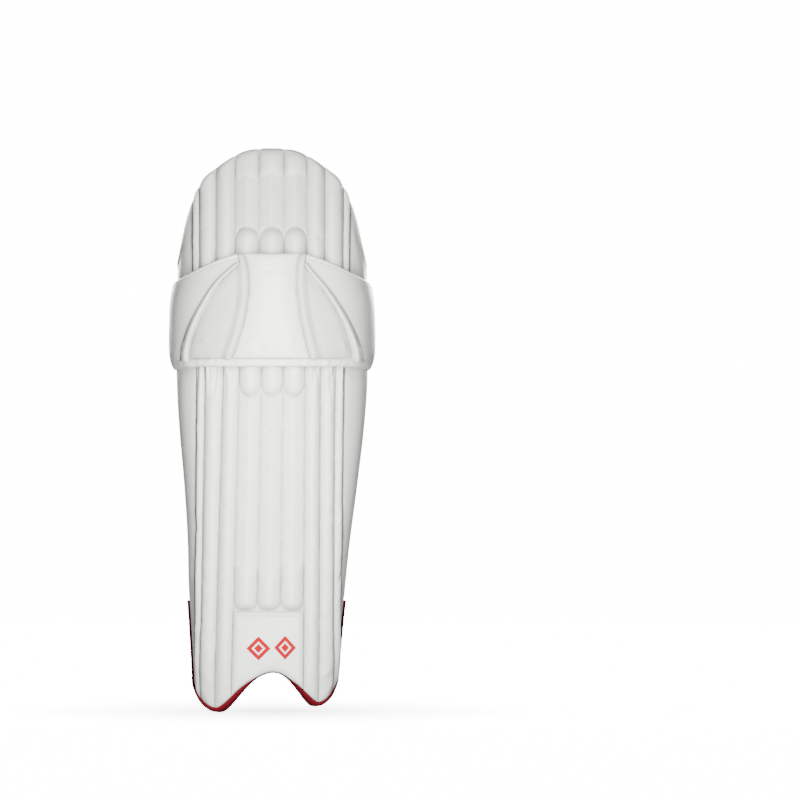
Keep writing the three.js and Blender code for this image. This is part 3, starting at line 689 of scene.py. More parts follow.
SHIN_SEAMS = [centre_line(share) for share in (0.0, 0.335, 0.672, 1.0)]
for i, low_stop in enumerate((188.0, 184.0, 192.0)):
    patch = Patch(SHIN, *between(SHIN, *SHIN_SEAMS[i : i + 2]), evenly(127.5), evenly(465), 30, 260)
    top_finger, above = finger(patch, 394.0, 560.0, 11.0, 13.0)
    low_finger, below = finger(patch, 128.0, low_stop, 10.8, 11.0, 3.0, FINGER_FEATHER)
    rib = tent(patch, 5.6) * (1 - 0.25 * step(patch.z, 230, 172)) * rounded(patch.low, 8)
    h = np.maximum(rib, np.maximum(top_finger, low_finger))
    centre_roll(f"shin_centre_roll_{i + 1}", patch, "leather", h, np.minimum(above, below), 1.5, 0.35)

ROLLS_LOW = evenly(542)  # the lower end of the thigh flap's rolls
for label, creases in (("outer", (-44, -68, -88, -96.5)), ("inner", (44, 66.5, 88.5, 96.5))):
    for i, full in enumerate((9.2, 8.8, 4.8)):
        pair = [evenly(x) for x in creases[i : i + 2]]
        node = f"thigh_roll_{label}_{i + 1}"
        side_roll(node, THIGH, pair, ROLLS_LOW, lambda x: dome_edge(x) + 0.2, full, 90, "thigh_shaded_leather")

for i, (fat, puff_low) in enumerate(((6.4, 661), (8.0, 665), (7.4, 665))):
    pair = [evenly(x) for x in FLAP_SEAMS[i : i + 2]]
    patch = Patch(THIGH, *between(THIGH, *pair), ROLLS_LOW, lambda x: dome_edge(x) + 0.4, 30, 130)
    low_finger, below = finger(patch, 400.0, 603.0, 10.8, 14.2)
    puff = fat * np.sqrt(np.maximum(1 - np.abs(2 * patch.p - 1) ** 2.6, 0))
    puff = puff * rounded(patch.z - puff_low, 15) * rounded(patch.high, 13)
    h = np.maximum(np.maximum(tent(patch, 5.4) * rounded(patch.high, 8), low_finger), puff)
    centre_roll(f"thigh_centre_roll_{i + 1}", patch, "thigh_shaded_leather", h, below, 1.6, 0.45)


def quilted(node, patch, front, front_dip, base, depth, groove, radius, replaces, uneven=0.0):
    """A lining puffed over foam and sewn in upright channels, with rounded borders."""
    channel = 0.5 + 0.5 * np.cos(2 * math.pi * patch.left / CHANNEL)
    puffed = patch.edge(radius)
    under = base - depth * puffed - groove * (1 - channel**3) * step(puffed, 0.5, 1) + uneven
    top = front - front_dip * (1 - puffed)
    padded_piece(f"{node}_soft", patch, top, under, "lining", replaces=(node, *replaces))


# ---------------------------------------------------------------- shin section

seam_outer, seam_inner = SHIN.at(OUTER_CREASES[3]), SHIN.at(INNER_CREASES[3])
patch = Patch(SHIN, seam_outer, seam_inner, inside_edge, evenly(SHIN_TOP), 70, 150, even=True)
cover = padded_piece("shin_cover_soft", patch, 0.0, -1.8, "leather", replaces=("shin_cover",))

patch = Patch(
    SHIN, lambda z: seam_outer(z) - 0.009, lambda z: seam_inner(z) + 0.009, lambda x: inside_edge(x, 0.5),
    evenly(SHIN_TOP - 0.5), 90, 240, even=True,
)
uneven = 0.25 * ripple(patch.left, patch.low, 30, 5)
quilted("shin_lining", patch, -2.0, 2.0, -4, 12.2, 1.5, 9, ("shin_foam", "shin_stiffener"), uneven)

SIDE_EDGE = 0.995  # where the sides end below the wings, as a place round the shin
# the section of a wing's edging tape, folded over the edge: distance inwards, height over the wing
WING_LIP = np.array([
    (5.4, 0.3), (4.9, 0.8), (2.0, 0.7), (0.2, -0.9), (-0.9, -4.5), (0.2, -8.4), (2.0, -10.2), (4.9, -10.4),
    (5.4, -9.8), (2.2, -9.3), (1.0, -7.6), (0.5, -4.5), (1.0, -1.4), (2.2, 0.3),
])


def wing_end(z):
    swept = step(z, 138, 194)
    beside = SIDE_EDGE - 0.04 + 0.014 * step(z, 50, 70)
    return beside + (2 - beside) * swept - 0.62 * step(z, 392, 462)


for label, side, seam_line in (("outer", -1, seam_outer), ("inner", 1, seam_inner)):
    edges = by_place([lambda z: seam_line(z) + side * 0.0015, lambda z: side * wing_end(z)])
    patch = Patch(SHIN, *edges, inside_edge, evenly(SHIN_TOP - 8), 60, 240, even=True)
    free = patch.left if side < 0 else patch.right
    fixed = patch.right if side < 0 else patch.left
    soft = rounded(np.minimum(np.minimum(free, patch.high), patch.low + 3), 6)
    crown = rounded(fixed, 10)
    slow = 0.45 * ripple(patch.left, patch.low * 0.5, 55, seed_of(label)) * soft * crown
    top = -4.5 + 4.5 * soft - 1.6 * (1 - crown) + slow
    under = -4.5 - 4.5 * soft + slow
    padded_piece(
        f"{label}_wing_soft", patch, top, under, "side_shaded_leather", replaces=(f"{label}_wing",), inner="lining",
    )
    z = np.linspace(196, 398, 80)
    stitches(f"{label}_wing_stitches", *traced(SHIN, side * (wing_end(z) - 0.085), z, 0.05), "shin")
    z = np.linspace(190, 452, 130)
    path = traced(SHIN, side * (wing_end(z) + 0.004), z)
    along_path(*path, WING_LIP * (-side, 1), f"{label}_wing_edging", "edging", "shin")

# the instep panel, its hem and its printed motif
PANEL_TOP, BADGE = 126.0, -66.5  # the panel's top and the depth, along Y, of its flat face
FRONT = (0.0, -1.0, 0.0)
sides = between(SHIN, OUTER_CREASES[0], INNER_CREASES[0], 0.4)
patch = Patch(SHIN, *sides, inside_edge, evenly(PANEL_TOP + 0.8), 60, 70)
swell = rounded(patch.side, 9) * rounded(patch.high + 0.4, 5) * (0.35 + 0.65 * rounded(patch.low, 9))
wave = 0.35 * ripple(patch.left, patch.low, 26, 77) * swell


def flatten(points):
    points = points.copy()
    hem = 1.1 * np.exp(-(((patch.high - 2.6) / 1.8) ** 2)) * rounded(patch.side, 4)
    points[..., 1] = (BADGE + 4.4) * (1 - swell) + (BADGE + 0.2) * swell - wave - hem
    return points


padded_piece("instep_panel_soft", patch, 4.5, 0.4, "leather", replaces=("instep_panel",), flat=flatten)
rows = (
    ("hem", -45.5, 36.5, PANEL_TOP - 5.0, PANEL_TOP - 5.0, -0.1, 60),
    ("left", -44.6, -44.6, 118, 56, -0.05, 40),
    ("right", 36.2, 36.2, 118, 56, -0.05, 40),
)
for label, x_from, x_to, z_from, z_to, y, count in rows:
    points = np.linspace((x_from, BADGE + y, z_from), (x_to, BADGE + y, z_to), count)
    stitches(f"instep_{label}_stitches", points, np.tile(FRONT, (count, 1)), "shin")


def rhombus(half_width, half_height):
    corners = np.array([(half_width, 0), (0, half_height), (-half_width, 0), (0, -half_height)], float)
    return np.concatenate([np.linspace(a, b, 7)[:-1] for a, b in zip(corners, np.roll(corners, -1, axis=0))])


def motif(name, outer, inner, centre):
    """A flat printed ring between two rhombi, each given by its half width and half height."""
    rings = [rhombus(*half) + centre for half in (outer, inner)]
    n = len(rings[0])
    verts = np.concatenate([np.insert(ring, 1, BADGE + y, axis=1) for y in (-0.55, 0.25) for ring in rings])
    around = ((0, n), (n, 3 * n), (3 * n, 2 * n), (2 * n, 0))
    faces = [[a + i, b + i, b + (i + 1) % n, a + (i + 1) % n] for i in range(n) for a, b in around]
    build(name, verts, faces, ["print"], "shin", uv=verts[:, ::2], angle=30)


POINT = (0.2, 0.2)
motif("motif_left", (15, 15), (8.6, 8.6), (-15.5, 81))
motif("motif_left_heart", (5.6, 5.6), POINT, (-15.5, 81))
motif("motif_right", (13.6, 15), (7.8, 8.6), (17.5, 82))
motif("motif_right_heart", (5.0, 5.6), POINT, (17.5, 82))

# the red binding round the bottom edge
def eased(values, times):
    """The same values with each kink eased, their ends kept."""
    for _ in range(times):
        values[1:-1] = (values[:-2] + 2 * values[1:-1] + values[2:]) / 4
    return values


heights = np.linspace(139, 52, 34)[:-1]
first, last = LOBES[0][0] - LOBES[0][2], LOBES[1][0] + LOBES[1][2]
xs = first + (last - first) * (1 - np.cos(math.pi * np.linspace(0, 1, 150))) / 2
zs = bottom_edge(xs)
ws = np.clip(SHIN.place(xs, zs), -SIDE_EDGE, SIDE_EDGE)
ws = eased(np.concatenate([np.full(33, -SIDE_EDGE), ws, np.full(33, SIDE_EDGE)]), 3)
zs = eased(np.concatenate([heights, zs, heights[::-1]]), 3)
path, normals = traced(SHIN, ws, zs)
wide = eased(np.where(np.abs(ws) > 0.985, 5.0 - 1.2 * step(zs, 118, 139), tape_width(path[:, 0])), 8)
section = np.array([
    [
        (width, 1.5), (width - 0.4, 2.5), (width * 0.5, 2.9), (0.5, 2.1), (-0.3, 0.3), (-0.7, -6.0), (-0.3, -12.0),
        (0.6, -13.6), (width, -14.0), (width, -13.2), (1.2, -12.7), (0.3, -6.0), (0.6, -0.4), (width * 0.5, 1.2),
    ]
    for width in wide
])
along_path(path, normals, section, "bottom_binding_soft", "binding", "shin", "binding", ("bottom_binding",))
inwards = np.cross(normals, unit(np.gradient(path, axis=0)))
row = path + inwards * (wide * 0.62)[:, None] + normals * 2.8
stitches("binding_stitches", row, normals, "shin", "red_thread", 3.0, 2.1, 0.3, "binding")

# ---------------------------------------------------------------- knee band

BAND_END = 1.72  # where the band's wings end, as a place round the knee
TUCK = 4.4  # how far the band's lower edge draws in beside the shin
ends = round_edge(band_bottom), round_edge(band_top)
patch = Patch(KNEE, evenly(-BAND_END), evenly(BAND_END), *ends, 200, 90, even=True)
soft = patch.edge(5)
beyond = step(np.abs(patch.x), 60, 112)
slow = 0.5 * ripple(patch.left, patch.low, 60, 11) * soft
tuck = TUCK * tucked(patch.w) * (1 - rounded(patch.low, 22))
top = -1.5 + 1.5 * soft + 0.9 * beyond * rounded(patch.end, 26) + slow - tuck
under = np.minimum(-1.5 - 1.6 * soft + slow * 0.4, top - 1.0)
padded_piece("knee_band_soft", patch, top, under, "side_shaded_leather", replaces=("knee_cover",), inner="lining")

# the centre panel's sides and the arched welts, as x for each height
LEFT_PANEL = curve(
    (425, -52), (436, -48.5), (456, -41), (484, -32.3), (510, -27.6), (534, -25.8), (555, -28), (572, -32.5)
)
RIGHT_PANEL = curve((425, 52), (436, 49.4), (456, 43.7), (484, 37), (510, 32.8), (534, 31), (555, 32), (572, 35.5))
LEFT_ARC = curve(
    (430, -101.8), (439, -101.3), (454, -99.6), (481, -91.4), (516, -74), (538, -58.5), (555.6, -39.4), (563, -33)
)
RIGHT_ARC = curve((430, 104), (434, 103.5), (458, 98.8), (481, 90), (506, 76.8), (529, 61.5), (553.5, 41.6), (562, 37))
PIPE = 8.6  # the width of the piping beside the centre panel

patch = Patch(KNEE, KNEE.at(LEFT_PANEL), KNEE.at(RIGHT_PANEL), evenly(440.5), evenly(KNEE_HIGH - 0.6), 44, 90)
u = np.abs(patch.across())
body = 5.6 * (0.55 * (1 - u**2.2) + 0.45 * np.sqrt(np.maximum(1 - u**4, 0)))
body = body * (0.45 + 0.55 * rounded(patch.low, 16)) * (0.5 + 0.5 * rounded(patch.high, 10))
top = 0.5 + body + 0.3 * ripple(patch.left, patch.low, 38, 21) * rounded(patch.side, 8) + pucker(patch, 22, 0.15)
padded_piece("knee_centre_panel_soft", patch, top, -0.5, "knee_leather", replaces=("knee_centre_panel",))


def bell(x, centre, half):
    """A smooth bump of height 1."""
    return 0.5 + 0.5 * np.cos(math.pi * np.clip((x - centre) / half, -1, 1))


for label, side, panel_line, arc_line in (("outer", -1, LEFT_PANEL, LEFT_ARC), ("inner", 1, RIGHT_PANEL, RIGHT_ARC)):

    def near(z):
        return panel_line(z) + side * 0.3

    def far(z):
        return side * np.maximum(side * arc_line(z) - 0.3, side * panel_line(z) + PIPE + 0.4)

    def arc_outside(z):
        return arc_line(z) + side * (8.8 + 3.2 * step(z, 560, 470))

    sides = [KNEE.at(edge) for edge in by_place([near, far], 480)]
    patch = Patch(KNEE, *sides, evenly(440.5), evenly(KNEE_HIGH - 1.2), 60, 110)
    from_arc, from_panel = (patch.left, patch.right) if side < 0 else (patch.right, patch.left)
    piping = 7.0 * bell(from_panel, 5.8, 10.6) * rounded(from_panel, 2.0) * (0.5 + 0.5 * rounded(patch.high, 9))
    body = np.minimum(3.0, 0.1 * patch.left[-1:]) * rounded(from_arc, 12) * (1 - bell(from_panel, 0, 11))
    top = 0.35 + piping + body * (0.35 + 0.65 * rounded(patch.low, 12)) - 0.12 * piping * body
    top = top + 0.25 * ripple(patch.left, patch.low, 30, 41 + side) * rounded(patch.side, 8)
    top = top + pucker(patch, 30 + side, 0.12)
    nodes = (f"knee_leaf_{label}", f"knee_piping_{label}")
    padded_piece(f"knee_leaf_{label}_soft", patch, top, UNDERSIDE, "leaf_shaded_leather", replaces=nodes)

    sides = [KNEE.at(edge) for edge in by_place([lambda z: arc_line(z) + side * 0.2, arc_outside], 480)]
    patch = Patch(KNEE, *sides, evenly(436), evenly(559), 18, 150)
    away = patch.right if side < 0 else patch.left
    ridge = (1 - np.clip(away / patch.left[-1:], 0, 1) ** 1.9) ** 1.2
    ridge = 6.8 * rounded(away, 3.2) * ridge * (0.3 + 0.7 * rounded(patch.end, 14))
    node = f"knee_welt_{label}"
    padded_piece(f"{node}_soft", patch, 0.25 + ridge, -1.6, "knee_leather", replaces=(node,))


def hem_low(w):
    return band_bottom(w) + 0.2


def hem_high(w):
    return band_bottom(w) + 10.4


ends = round_edge(hem_low), round_edge(hem_high)
patch = Patch(KNEE, evenly(-BAND_END + 0.02), evenly(BAND_END - 0.02), *ends, 300, 14, even=True)
puckers = ripple(patch.left, patch.low * 0.5, 4.6, 57) * (0.25 + np.exp(-(((np.abs(patch.x + 2) - 70) / 26) ** 2)))
ridge = (2.1 + 0.8 * puckers) * (1 - 0.9 * step(np.abs(patch.w), 0.6, 0.9)) * rounded(patch.low, 4)
ridge = ridge * (0.35 + 0.65 * rounded(patch.high, 2.2)) * rounded(patch.side, 8)
ridge = ridge - TUCK * tucked(patch.w) * (1 - rounded(patch.low, 22))
padded_piece("knee_hem_soft", patch, 0.2 + ridge, -3.3, "knee_leather", "knee")
w = np.linspace(-BAND_END + 0.05, BAND_END - 0.05, 400)
middle, outer = w[np.abs(w) < 0.75], w[np.abs(w) > 0.3]
stitches("knee_hem_stitches", *traced(KNEE, middle, hem_high(middle) - 1.6, 1.6), "knee")
stitches("knee_top_stitches", *traced(KNEE, outer, band_top(outer) - 6.5, 1.0), "knee")
# the section of the band's top edging: distance inwards, height over the band
lip = np.array([
    (3.8, -0.3), (3.2, 0.35), (1.5, 0.3), (0.2, -0.5), (-0.5, -1.6), (0.0, -3.2), (1.4, -3.7), (3.4, -3.5),
    (3.4, -3.0), (1.2, -2.8), (0.5, -1.6), (1.4, -0.6),
])
along_path(*traced(KNEE, w, band_top(w)), lip * (-1, 1), "knee_top_edging", "knee_leather", "knee")


def knee_lining_top(w):
    return 533 - 24 * step(np.abs(w), 0.42, 0.5)


sides = between(KNEE, evenly(-89), evenly(89), 0)
patch = Patch(KNEE, *sides, evenly(473), round_edge(knee_lining_top), 90, 50, even=True)
quilted("knee_lining", patch, -4.0, 2.0, -7, 7.2, 0.9, 6, ("knee_foam",))

# ---------------------------------------------------------------- thigh flap

FLAP_END = 1.55  # where the flap's wings end, as a place round the thigh


def flap_low(w):
    return 540 - 21 * step(np.abs(w), 0.5, 0.62) - 3 * step(np.abs(w), 0.85, 1)


def flap_high(w):
    return flap_top(w) - 0.9


ends = round_edge(flap_low), round_edge(flap_high)
patch = Patch(THIGH, evenly(-FLAP_END), evenly(FLAP_END), *ends, 220, 100, even=True)
soft = patch.edge(4)
slow = 0.5 * ripple(patch.left, patch.low, 50, 61) * soft * step(np.abs(patch.x), 97, 106)
top, under = -1.4 + 1.4 * soft + slow, -1.4 - 1.4 * soft
padded_piece("thigh_cover_soft", patch, top, under, "side_shaded_leather", replaces=("thigh_cover",), inner="lining")
w = np.linspace(-FLAP_END, FLAP_END, 300)
# the section of the flap's edging: distance inwards, height over the flap
lip = np.array([
    (3.4, 0.5), (3.0, 1.1), (1.4, 1.2), (0.1, 0.4), (-0.6, -1.4), (0.0, -3.2), (1.4, -3.9), (3.4, -3.7),
    (3.4, -3.1), (1.2, -2.8), (0.5, -1.4), (1.2, 0.1),
])
along_path(*traced(THIGH, w, flap_top(w) - 0.4), lip * (-1, 1), "thigh_edging", "edging", "thigh")
for label, side in (("outer", -1), ("inner", 1)):
    w = side * np.linspace(0.9, FLAP_END - 0.05, 90)
    stitches(f"thigh_{label}_stitches", *traced(THIGH, w, flap_top(w) - 7.5, 0.15), "thigh")

sides = between(THIGH, evenly(-96), evenly(96), 0)
patch = Patch(THIGH, *sides, evenly(544), lambda x: dome_edge(x) - 4.0, 100, 90, even=True)
quilted("thigh_lining", patch, -3.2, 1.5, -5, 9.2, 0.9, 9, ("thigh_foam",))

# ---------------------------------------------------------------- bolsters


def coordinates(mesh):
    flat = np.zeros(len(mesh.vertices) * 3, np.float32)
    mesh.vertices.foreach_get("co", flat)
    return flat.reshape(-1, 3)


def stuffed(obj, cap=0.0022, voxel=0.004):
    """Swells a closed cover over its stuffing by a short cloth simulation, moving no point further than the cap."""
    scene = bpy.context.scene
    remesh = obj.modifiers.new("remesh", "REMESH")
    remesh.mode, remesh.voxel_size = "VOXEL", voxel
    mesh = bpy.data.meshes.new_from_object(obj.evaluated_get(bpy.context.evaluated_depsgraph_get()))
    obj.modifiers.clear()
    obj.data = mesh
    start = coordinates(mesh)
    settings = obj.modifiers.new("cloth", "CLOTH").settings
    settings.use_pressure = True
    settings.uniform_pressure_force = 4.0
    settings.shrink_min = -0.08
    settings.effector_weights.gravity = 0.0
    for moment in range(1, 21):
        scene.frame_set(moment)
    moved = coordinates(obj.evaluated_get(bpy.context.evaluated_depsgraph_get()).data) - start
    obj.modifiers.clear()
    scene.frame_set(1)
    far = np.linalg.norm(moved, axis=1, keepdims=True)
    made = start + moved * np.minimum(1, cap / np.maximum(far, 1e-9))
    mesh.vertices.foreach_set("co", made.ravel())
    lay_weave(mesh, made[:, ::2])
    mesh.shade_smooth()
    smooth = obj.modifiers.new("smooth", "SUBSURF")
    smooth.levels = smooth.render_levels = 1


def bolster(name, centres, radius, body):
    """A stuffed tube with domed ends and gathered seams."""
    centres = np.asarray(centres, float)
    run = distances(centres)
    steps = max(int(run[-1] / 2.5), 24)
    s = np.linspace(0, run[-1], steps + 1)
    path = np.stack([np.interp(s, run, centres[:, i]) for i in range(3)], -1)
    for _ in range(12):
        path[1:-1] = (path[:-2] + 2 * path[1:-1] + path[2:]) / 4
    tangent = unit(np.gradient(path, axis=0))
    side = unit(np.cross(tangent, np.array([0.0, 1.0, 0.05])))
    other = np.cross(tangent, side)
    turns = np.linspace(0, 2 * math.pi, 33)[:-1]
    end = rounded(np.minimum(s, s[-1] - s), radius * 0.9)
    seed = seed_of(name)
    a, b = np.meshgrid(s, turns * radius, indexing="ij")
    end = end[:, None]
    seam, beside = (np.exp(-((turns - math.pi / 2) / reach) ** 2) for reach in (0.12, 0.5))
    size = radius * end * (1 + 0.03 * ripple(a, b, 18, seed)) - 0.5 * seam * end
    size = size + 0.35 * end * ripple(a, 0 * b, 5, seed + 1) * beside
    rings = path[:, None] + size[..., None] * (
        side[:, None] * np.cos(turns)[None, :, None] + other[:, None] * np.sin(turns)[None, :, None]
    )
    uv = np.stack([b, a], -1).reshape(-1, 2)
    points, faces, (uv,), _ = weld(rings.reshape(-1, 3), tube(*rings.shape[:2]), [uv], 1e5)
    faces = outward(points, faces)
    stuffed(build(f"{name}_soft", points, faces, ["lining"], body, (name,), uv))


def inside(shell, x, z, radius, lining):
    x, z = np.asarray(x, float), np.asarray(z, float)
    w = shell.place(x, z)
    return shell.raised(w, z, np.full(z.shape, lining - 1.2 - radius))


z = np.linspace(62, 446, 60)
bolster("outer_bolster", inside(SHIN, line(-70, -62)(z), z, 12.2, -17), 12.2, "shin")
bolster("inner_bolster", inside(SHIN, line(50, 60)(z), z, 12.2, -17), 12.2, "shin")
x = np.linspace(-37, 36, 40)
bolster("instep_bolster", inside(SHIN, x, bottom_edge(x) + 20, 7.4, -17), 7.4, "shin")
z = np.linspace(483, 531, 20)
bolster("knee_cradle_outer", inside(KNEE, -58 + 0 * z, z, 11, -15), 11, "knee")
bolster("knee_cradle_inner", inside(KNEE, 58 + 0 * z, z, 11, -15), 11, "knee")
patch = Patch(KNEE, KNEE.at(evenly(-34)), KNEE.at(evenly(34)), evenly(480), evenly(530), 40, 36)
puffed = patch.edge(13)
stuffed(padded_piece(
    "knee_cap_pad_soft", patch, -15.6 - 2 * (1 - puffed), -17.6 - 6.2 * puffed, "lining",
    replaces=("knee_cap_pad",),
))

# ---------------------------------------------------------------- straps

STRAPS = (("ankle", 210.0), ("calf", 287.0), ("top", 362.0))
STRAP_WIDTH, HINGE_Y, BULGE = 38.0, WING_DEPTH + 3, 16.0
RIB, RIB_PITCH = 0.12, 5.4  # the ribs along the webbing


def webbing_box(name, shell_side, w_from, w_to, low, high, inner, outer, node, look, slot, body, nu=40, nv=24):
    """A flat piece on a wing, from one place round the shin to another, between two heights over it."""
    edges = by_place([evenly(shell_side * w_from), evenly(shell_side * w_to)])
    patch = Patch(SHIN, *edges, evenly(low), evenly(high), nu, nv)
    soft = patch.edge(0.9)
    middle, half = (inner + outer) / 2, (outer - inner) / 2 * (0.35 + 0.65 * soft)
    rib = RIB * np.cos(2 * math.pi * patch.low / RIB_PITCH) * soft if look == "webbing" else 0
    return padded_piece(name, patch, middle + half + rib, middle - half, look, body, (node,))


def fold(name, from_wing, to_wing, from_strap, to_strap, bodies):
    """The short bend of webbing between a piece on a wing, given for each height, and the strap's end."""
    t = np.linspace(0, 1, 13)[:, None, None]
    middle = (1 - t) ** 3 * from_wing + 3 * (1 - t) ** 2 * t * to_wing
    middle = middle + 3 * (1 - t) * t**2 * from_strap + t**3 * to_strap
    normal = 0.8 * unit(np.cross(np.gradient(middle, axis=0), np.gradient(middle, axis=1)))
    outer, inward, rim = slab(*middle.shape[:2])
    faces = outer + inward + rim
    points = np.concatenate([(middle + normal).reshape(-1, 3), (middle - normal).reshape(-1, 3)])
    obj = build(name, points, faces, ["webbing"], None, uv=points[:, 1:])
    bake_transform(obj)


for label, height in STRAPS:
    low, high = height - STRAP_WIDTH / 2, height + STRAP_WIDTH / 2
    tab = f"{label}_tab"
    # name, side, places round the shin, inset, heights over it, node, look, slot, body
    boxes = (
        ("anchor", 1, 1.6, 1.955, 0, 0.3, 2.4, "strap_anchor", "webbing", "webbing", "shin"),
        ("loop", -1, 1.44, 1.94, 2, 0.3, 1.6, "loop_tape", "loop", "tape", "shin"),
        ("hook", -1, 1.47, 1.94, 3, 1.7, 2.9, "hook_tape", "hook", "tape", tab),
        ("tab", -1, 1.44, 1.99, 0, 2.95, 4.9, "strap_tab", "webbing", "webbing", tab),
    )
    for part, side, w_from, w_to, inset, inner, outer, node, *rest in boxes:
        heights = low + inset, high - inset, inner, outer
        webbing_box(f"{label}_{part}_soft", side, w_from, w_to, *heights, f"{label}_{node}", *rest)
    near, far, foot, head = 1.64, 1.9, low + 4, high - 4
    square = ((near, foot), (far, foot), (far, head), (near, head))
    corners = (*square, square[0], square[2], square[1], square[3])
    box = np.concatenate([np.linspace(a, b, 14) for a, b in zip(corners, corners[1:])])
    stitches(f"{label}_anchor_stitches", *traced(SHIN, box[:, 0], box[:, 1], 2.6), "shin", slot="webbing")
    t = np.linspace(low + 3, high - 3, 20)
    for number, w in enumerate((1.48, 1.95)):
        stitches(f"{label}_tab_stitches_{number + 1}", *traced(SHIN, -w + 0 * t, t, 5.0), tab, slot="webbing")

    ends = [frame["joints"][i]["pos_m"][0] / MM for i, j in enumerate(frame["joints"]) if j["name"].startswith(label)]
    inner_x, outer_x = max(ends), min(ends)
    share = np.linspace(0, 1, 61)
    xs = inner_x + (outer_x - inner_x) * share
    bow = curve((0, 0), (0.25, 0.75), (0.5, 1), (0.75, 0.75), (1, 0))
    ys = HINGE_Y + BULGE * bow(share)
    tangent = unit(np.gradient(np.stack([xs, ys], -1), axis=0))
    tall = np.linspace(low + 0.5, high - 0.5, 17)
    for part, side, w_from, off, end, ahead, neighbour in (
        ("anchor", 1, 1.93, 1.35, 0, -1, "shin"),
        ("tab", -1, 1.97, 3.92, -1, 1, tab),
    ):
        places = (SHIN.raised(side * (w + 0 * tall), tall, off + 0 * tall) for w in (w_from, 2.03))
        tip = np.array([xs[end], ys[end]])
        strap_points = (tip + ahead * tangent[end] * d for d in (1.5, -2.0))
        strap_points = (np.column_stack([np.tile(p, (len(tall), 1)), tall]) for p in strap_points)
        fold(f"{label}_{part}_fold", *places, *strap_points, (neighbour, f"{label}_strap"))
    v = np.linspace(-1, 1, 25)
    rounding = rounded((1 - np.abs(v)) * STRAP_WIDTH / 2, 0.9)
    rib = RIB * np.cos(2 * math.pi * v * STRAP_WIDTH / 2 / RIB_PITCH)
    half = 0.35 + 0.65 * rounding
    sides, uv = [], []
    for sign in (1, -1):
        off = sign * (half + rib * rounding)
        px = xs[:, None] - tangent[:, 1:] * off[None, :]
        py = ys[:, None] + tangent[:, :1] * off[None, :]
        pz = height + v[None, :] * STRAP_WIDTH / 2 + 0 * px
        sides.append(np.stack([px, py, pz], -1).reshape(-1, 3))
        uv.append(np.stack(np.broadcast_arrays(xs[:, None], v[None, :] * STRAP_WIDTH / 2), -1).reshape(-1, 2))
    points, uv = np.concatenate(sides), np.concatenate(uv)
    front, back, rim = slab(len(xs), len(v))
    faces, strap = outward(points, front + back + rim), f"{label}_strap"
    build(f"{strap}_soft", points, faces, ["webbing"], strap, (strap,), uv)

# ---------------------------------------------------------------- carried-over pieces

for node, obj in frame["nodes"].items():
    kind = next((k for k in ("foam", "stiffener", "binding", "tape", "lining", "strap") if k in node), "leather")
    kind = {"tape": "hook", "strap": "webbing"}.get(kind, kind)
    obj.data.materials.clear()
    obj.data.materials.append(LOOKS[kind])

# ---------------------------------------------------------------- stage


def paper(name):
    """Pale paper that glows, with a painted soft shadow where the pad stands: a dim glow near it and a bright glow
    away from it.
    """
    f = Finish(name)
    fibres = f.noise(800.0, 3.0)
    shader = f.add("ShaderNodeBsdfPrincipled", {"Base Color": shade(0.25, 0.25, 0.25), "Roughness": 0.95})
    f.tree.links.new(f.bump(fibres, 0.0001, 0.2), shader.inputs["Normal"])
    # painted shadow: the glow rises from 4.5 near the origin, where the pad stands, to 16 a third of a metre away
    away = f.add("ShaderNodeVectorMath", {0: f.where}, operation="LENGTH").outputs["Value"]
    shader.inputs["Emission Color"].default_value = shade(1, 1, 1)
    f.tree.links.new(f.spread(away, 0.04, 0.34, 4.5, 16.0), shader.inputs["Emission Strength"])
    f.tree.links.new(shader.outputs[0], f.out.inputs["Surface"])
    return f.material


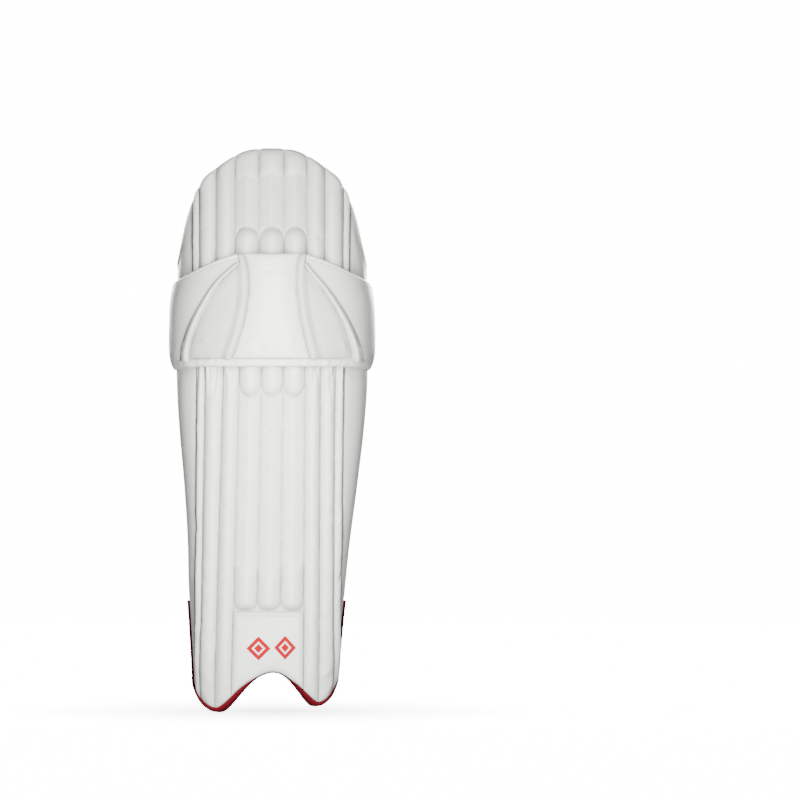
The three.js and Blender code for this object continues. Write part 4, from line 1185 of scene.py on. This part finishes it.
def sweep(name, size, height, material):
    """A square sheet of paper, seen from above."""
    mesh = bpy.data.meshes.new(name)
    corners = [(-size, -size, height), (size, -size, height), (size, size, height), (-size, size, height)]
    mesh.from_pydata(corners, [], [(0, 1, 2, 3)])
    mesh.materials.append(material)
    obj = bpy.data.objects.new(name, mesh)
    bpy.context.scene.collection.objects.link(obj)
    return obj


floor = sweep("floor", 8, 0.0, paper("paper"))
under_floor = sweep("under_floor", 0.05, -0.02, floor.data.materials[0])
glow_falls_on = bpy.data.collections.new("glow_falls_on")
glow_falls_on.objects.link(under_floor)
floor.light_linking.receiver_collection = glow_falls_on


def area_light(name, place, target, width, height, energy):
    data = bpy.data.lights.new(name, "AREA")
    data.shape = "RECTANGLE"
    data.size, data.size_y, data.energy = width, height, energy
    obj = bpy.data.objects.new(name, data)
    bpy.context.scene.collection.objects.link(obj)
    obj.location = place
    obj.rotation_mode = "QUATERNION"
    obj.rotation_quaternion = (Vector(target) - Vector(place)).to_track_quat("-Z", "Y")
    return obj


key = area_light("key", (0.01, -0.45, 0.39), (0.0, 0.0, 0.385), 0.1, 0.74, 10.2)
key.visible_camera = False
for side in (-1, 1):
    area_light("rear", (side * 1.15, 2.8, 1.1), (0, 0, 0.35), 1.2, 1.2, 125).visible_camera = False

# the surroundings look white but shed little light
world = bpy.data.worlds.new("studio")
bpy.context.scene.world = world
world.use_nodes = True
background = world.node_tree.nodes["Background"]
background.inputs["Color"].default_value = (1, 1, 1, 1)
seen = world.node_tree.nodes.new("ShaderNodeLightPath").outputs["Is Camera Ray"]
strength = world.node_tree.nodes.new("ShaderNodeMapRange")
strength.inputs["To Min"].default_value, strength.inputs["To Max"].default_value = 0.06, 16.0
world.node_tree.links.new(seen, strength.inputs["Value"])
world.node_tree.links.new(strength.outputs["Result"], background.inputs["Strength"])

camera_data = bpy.data.cameras.new("camera")
camera = bpy.data.objects.new("camera", camera_data)
bpy.context.scene.collection.objects.link(camera)
bpy.context.scene.camera = camera
DISTANCE, SPAN = 8.0, 0.994
camera_data.sensor_width = 36
camera_data.lens = 36 * DISTANCE / SPAN
camera_data.clip_end = 100
camera.location = (0.160, -0.05 - DISTANCE, 0.389)
camera.rotation_euler = (math.pi / 2, 0, 0)
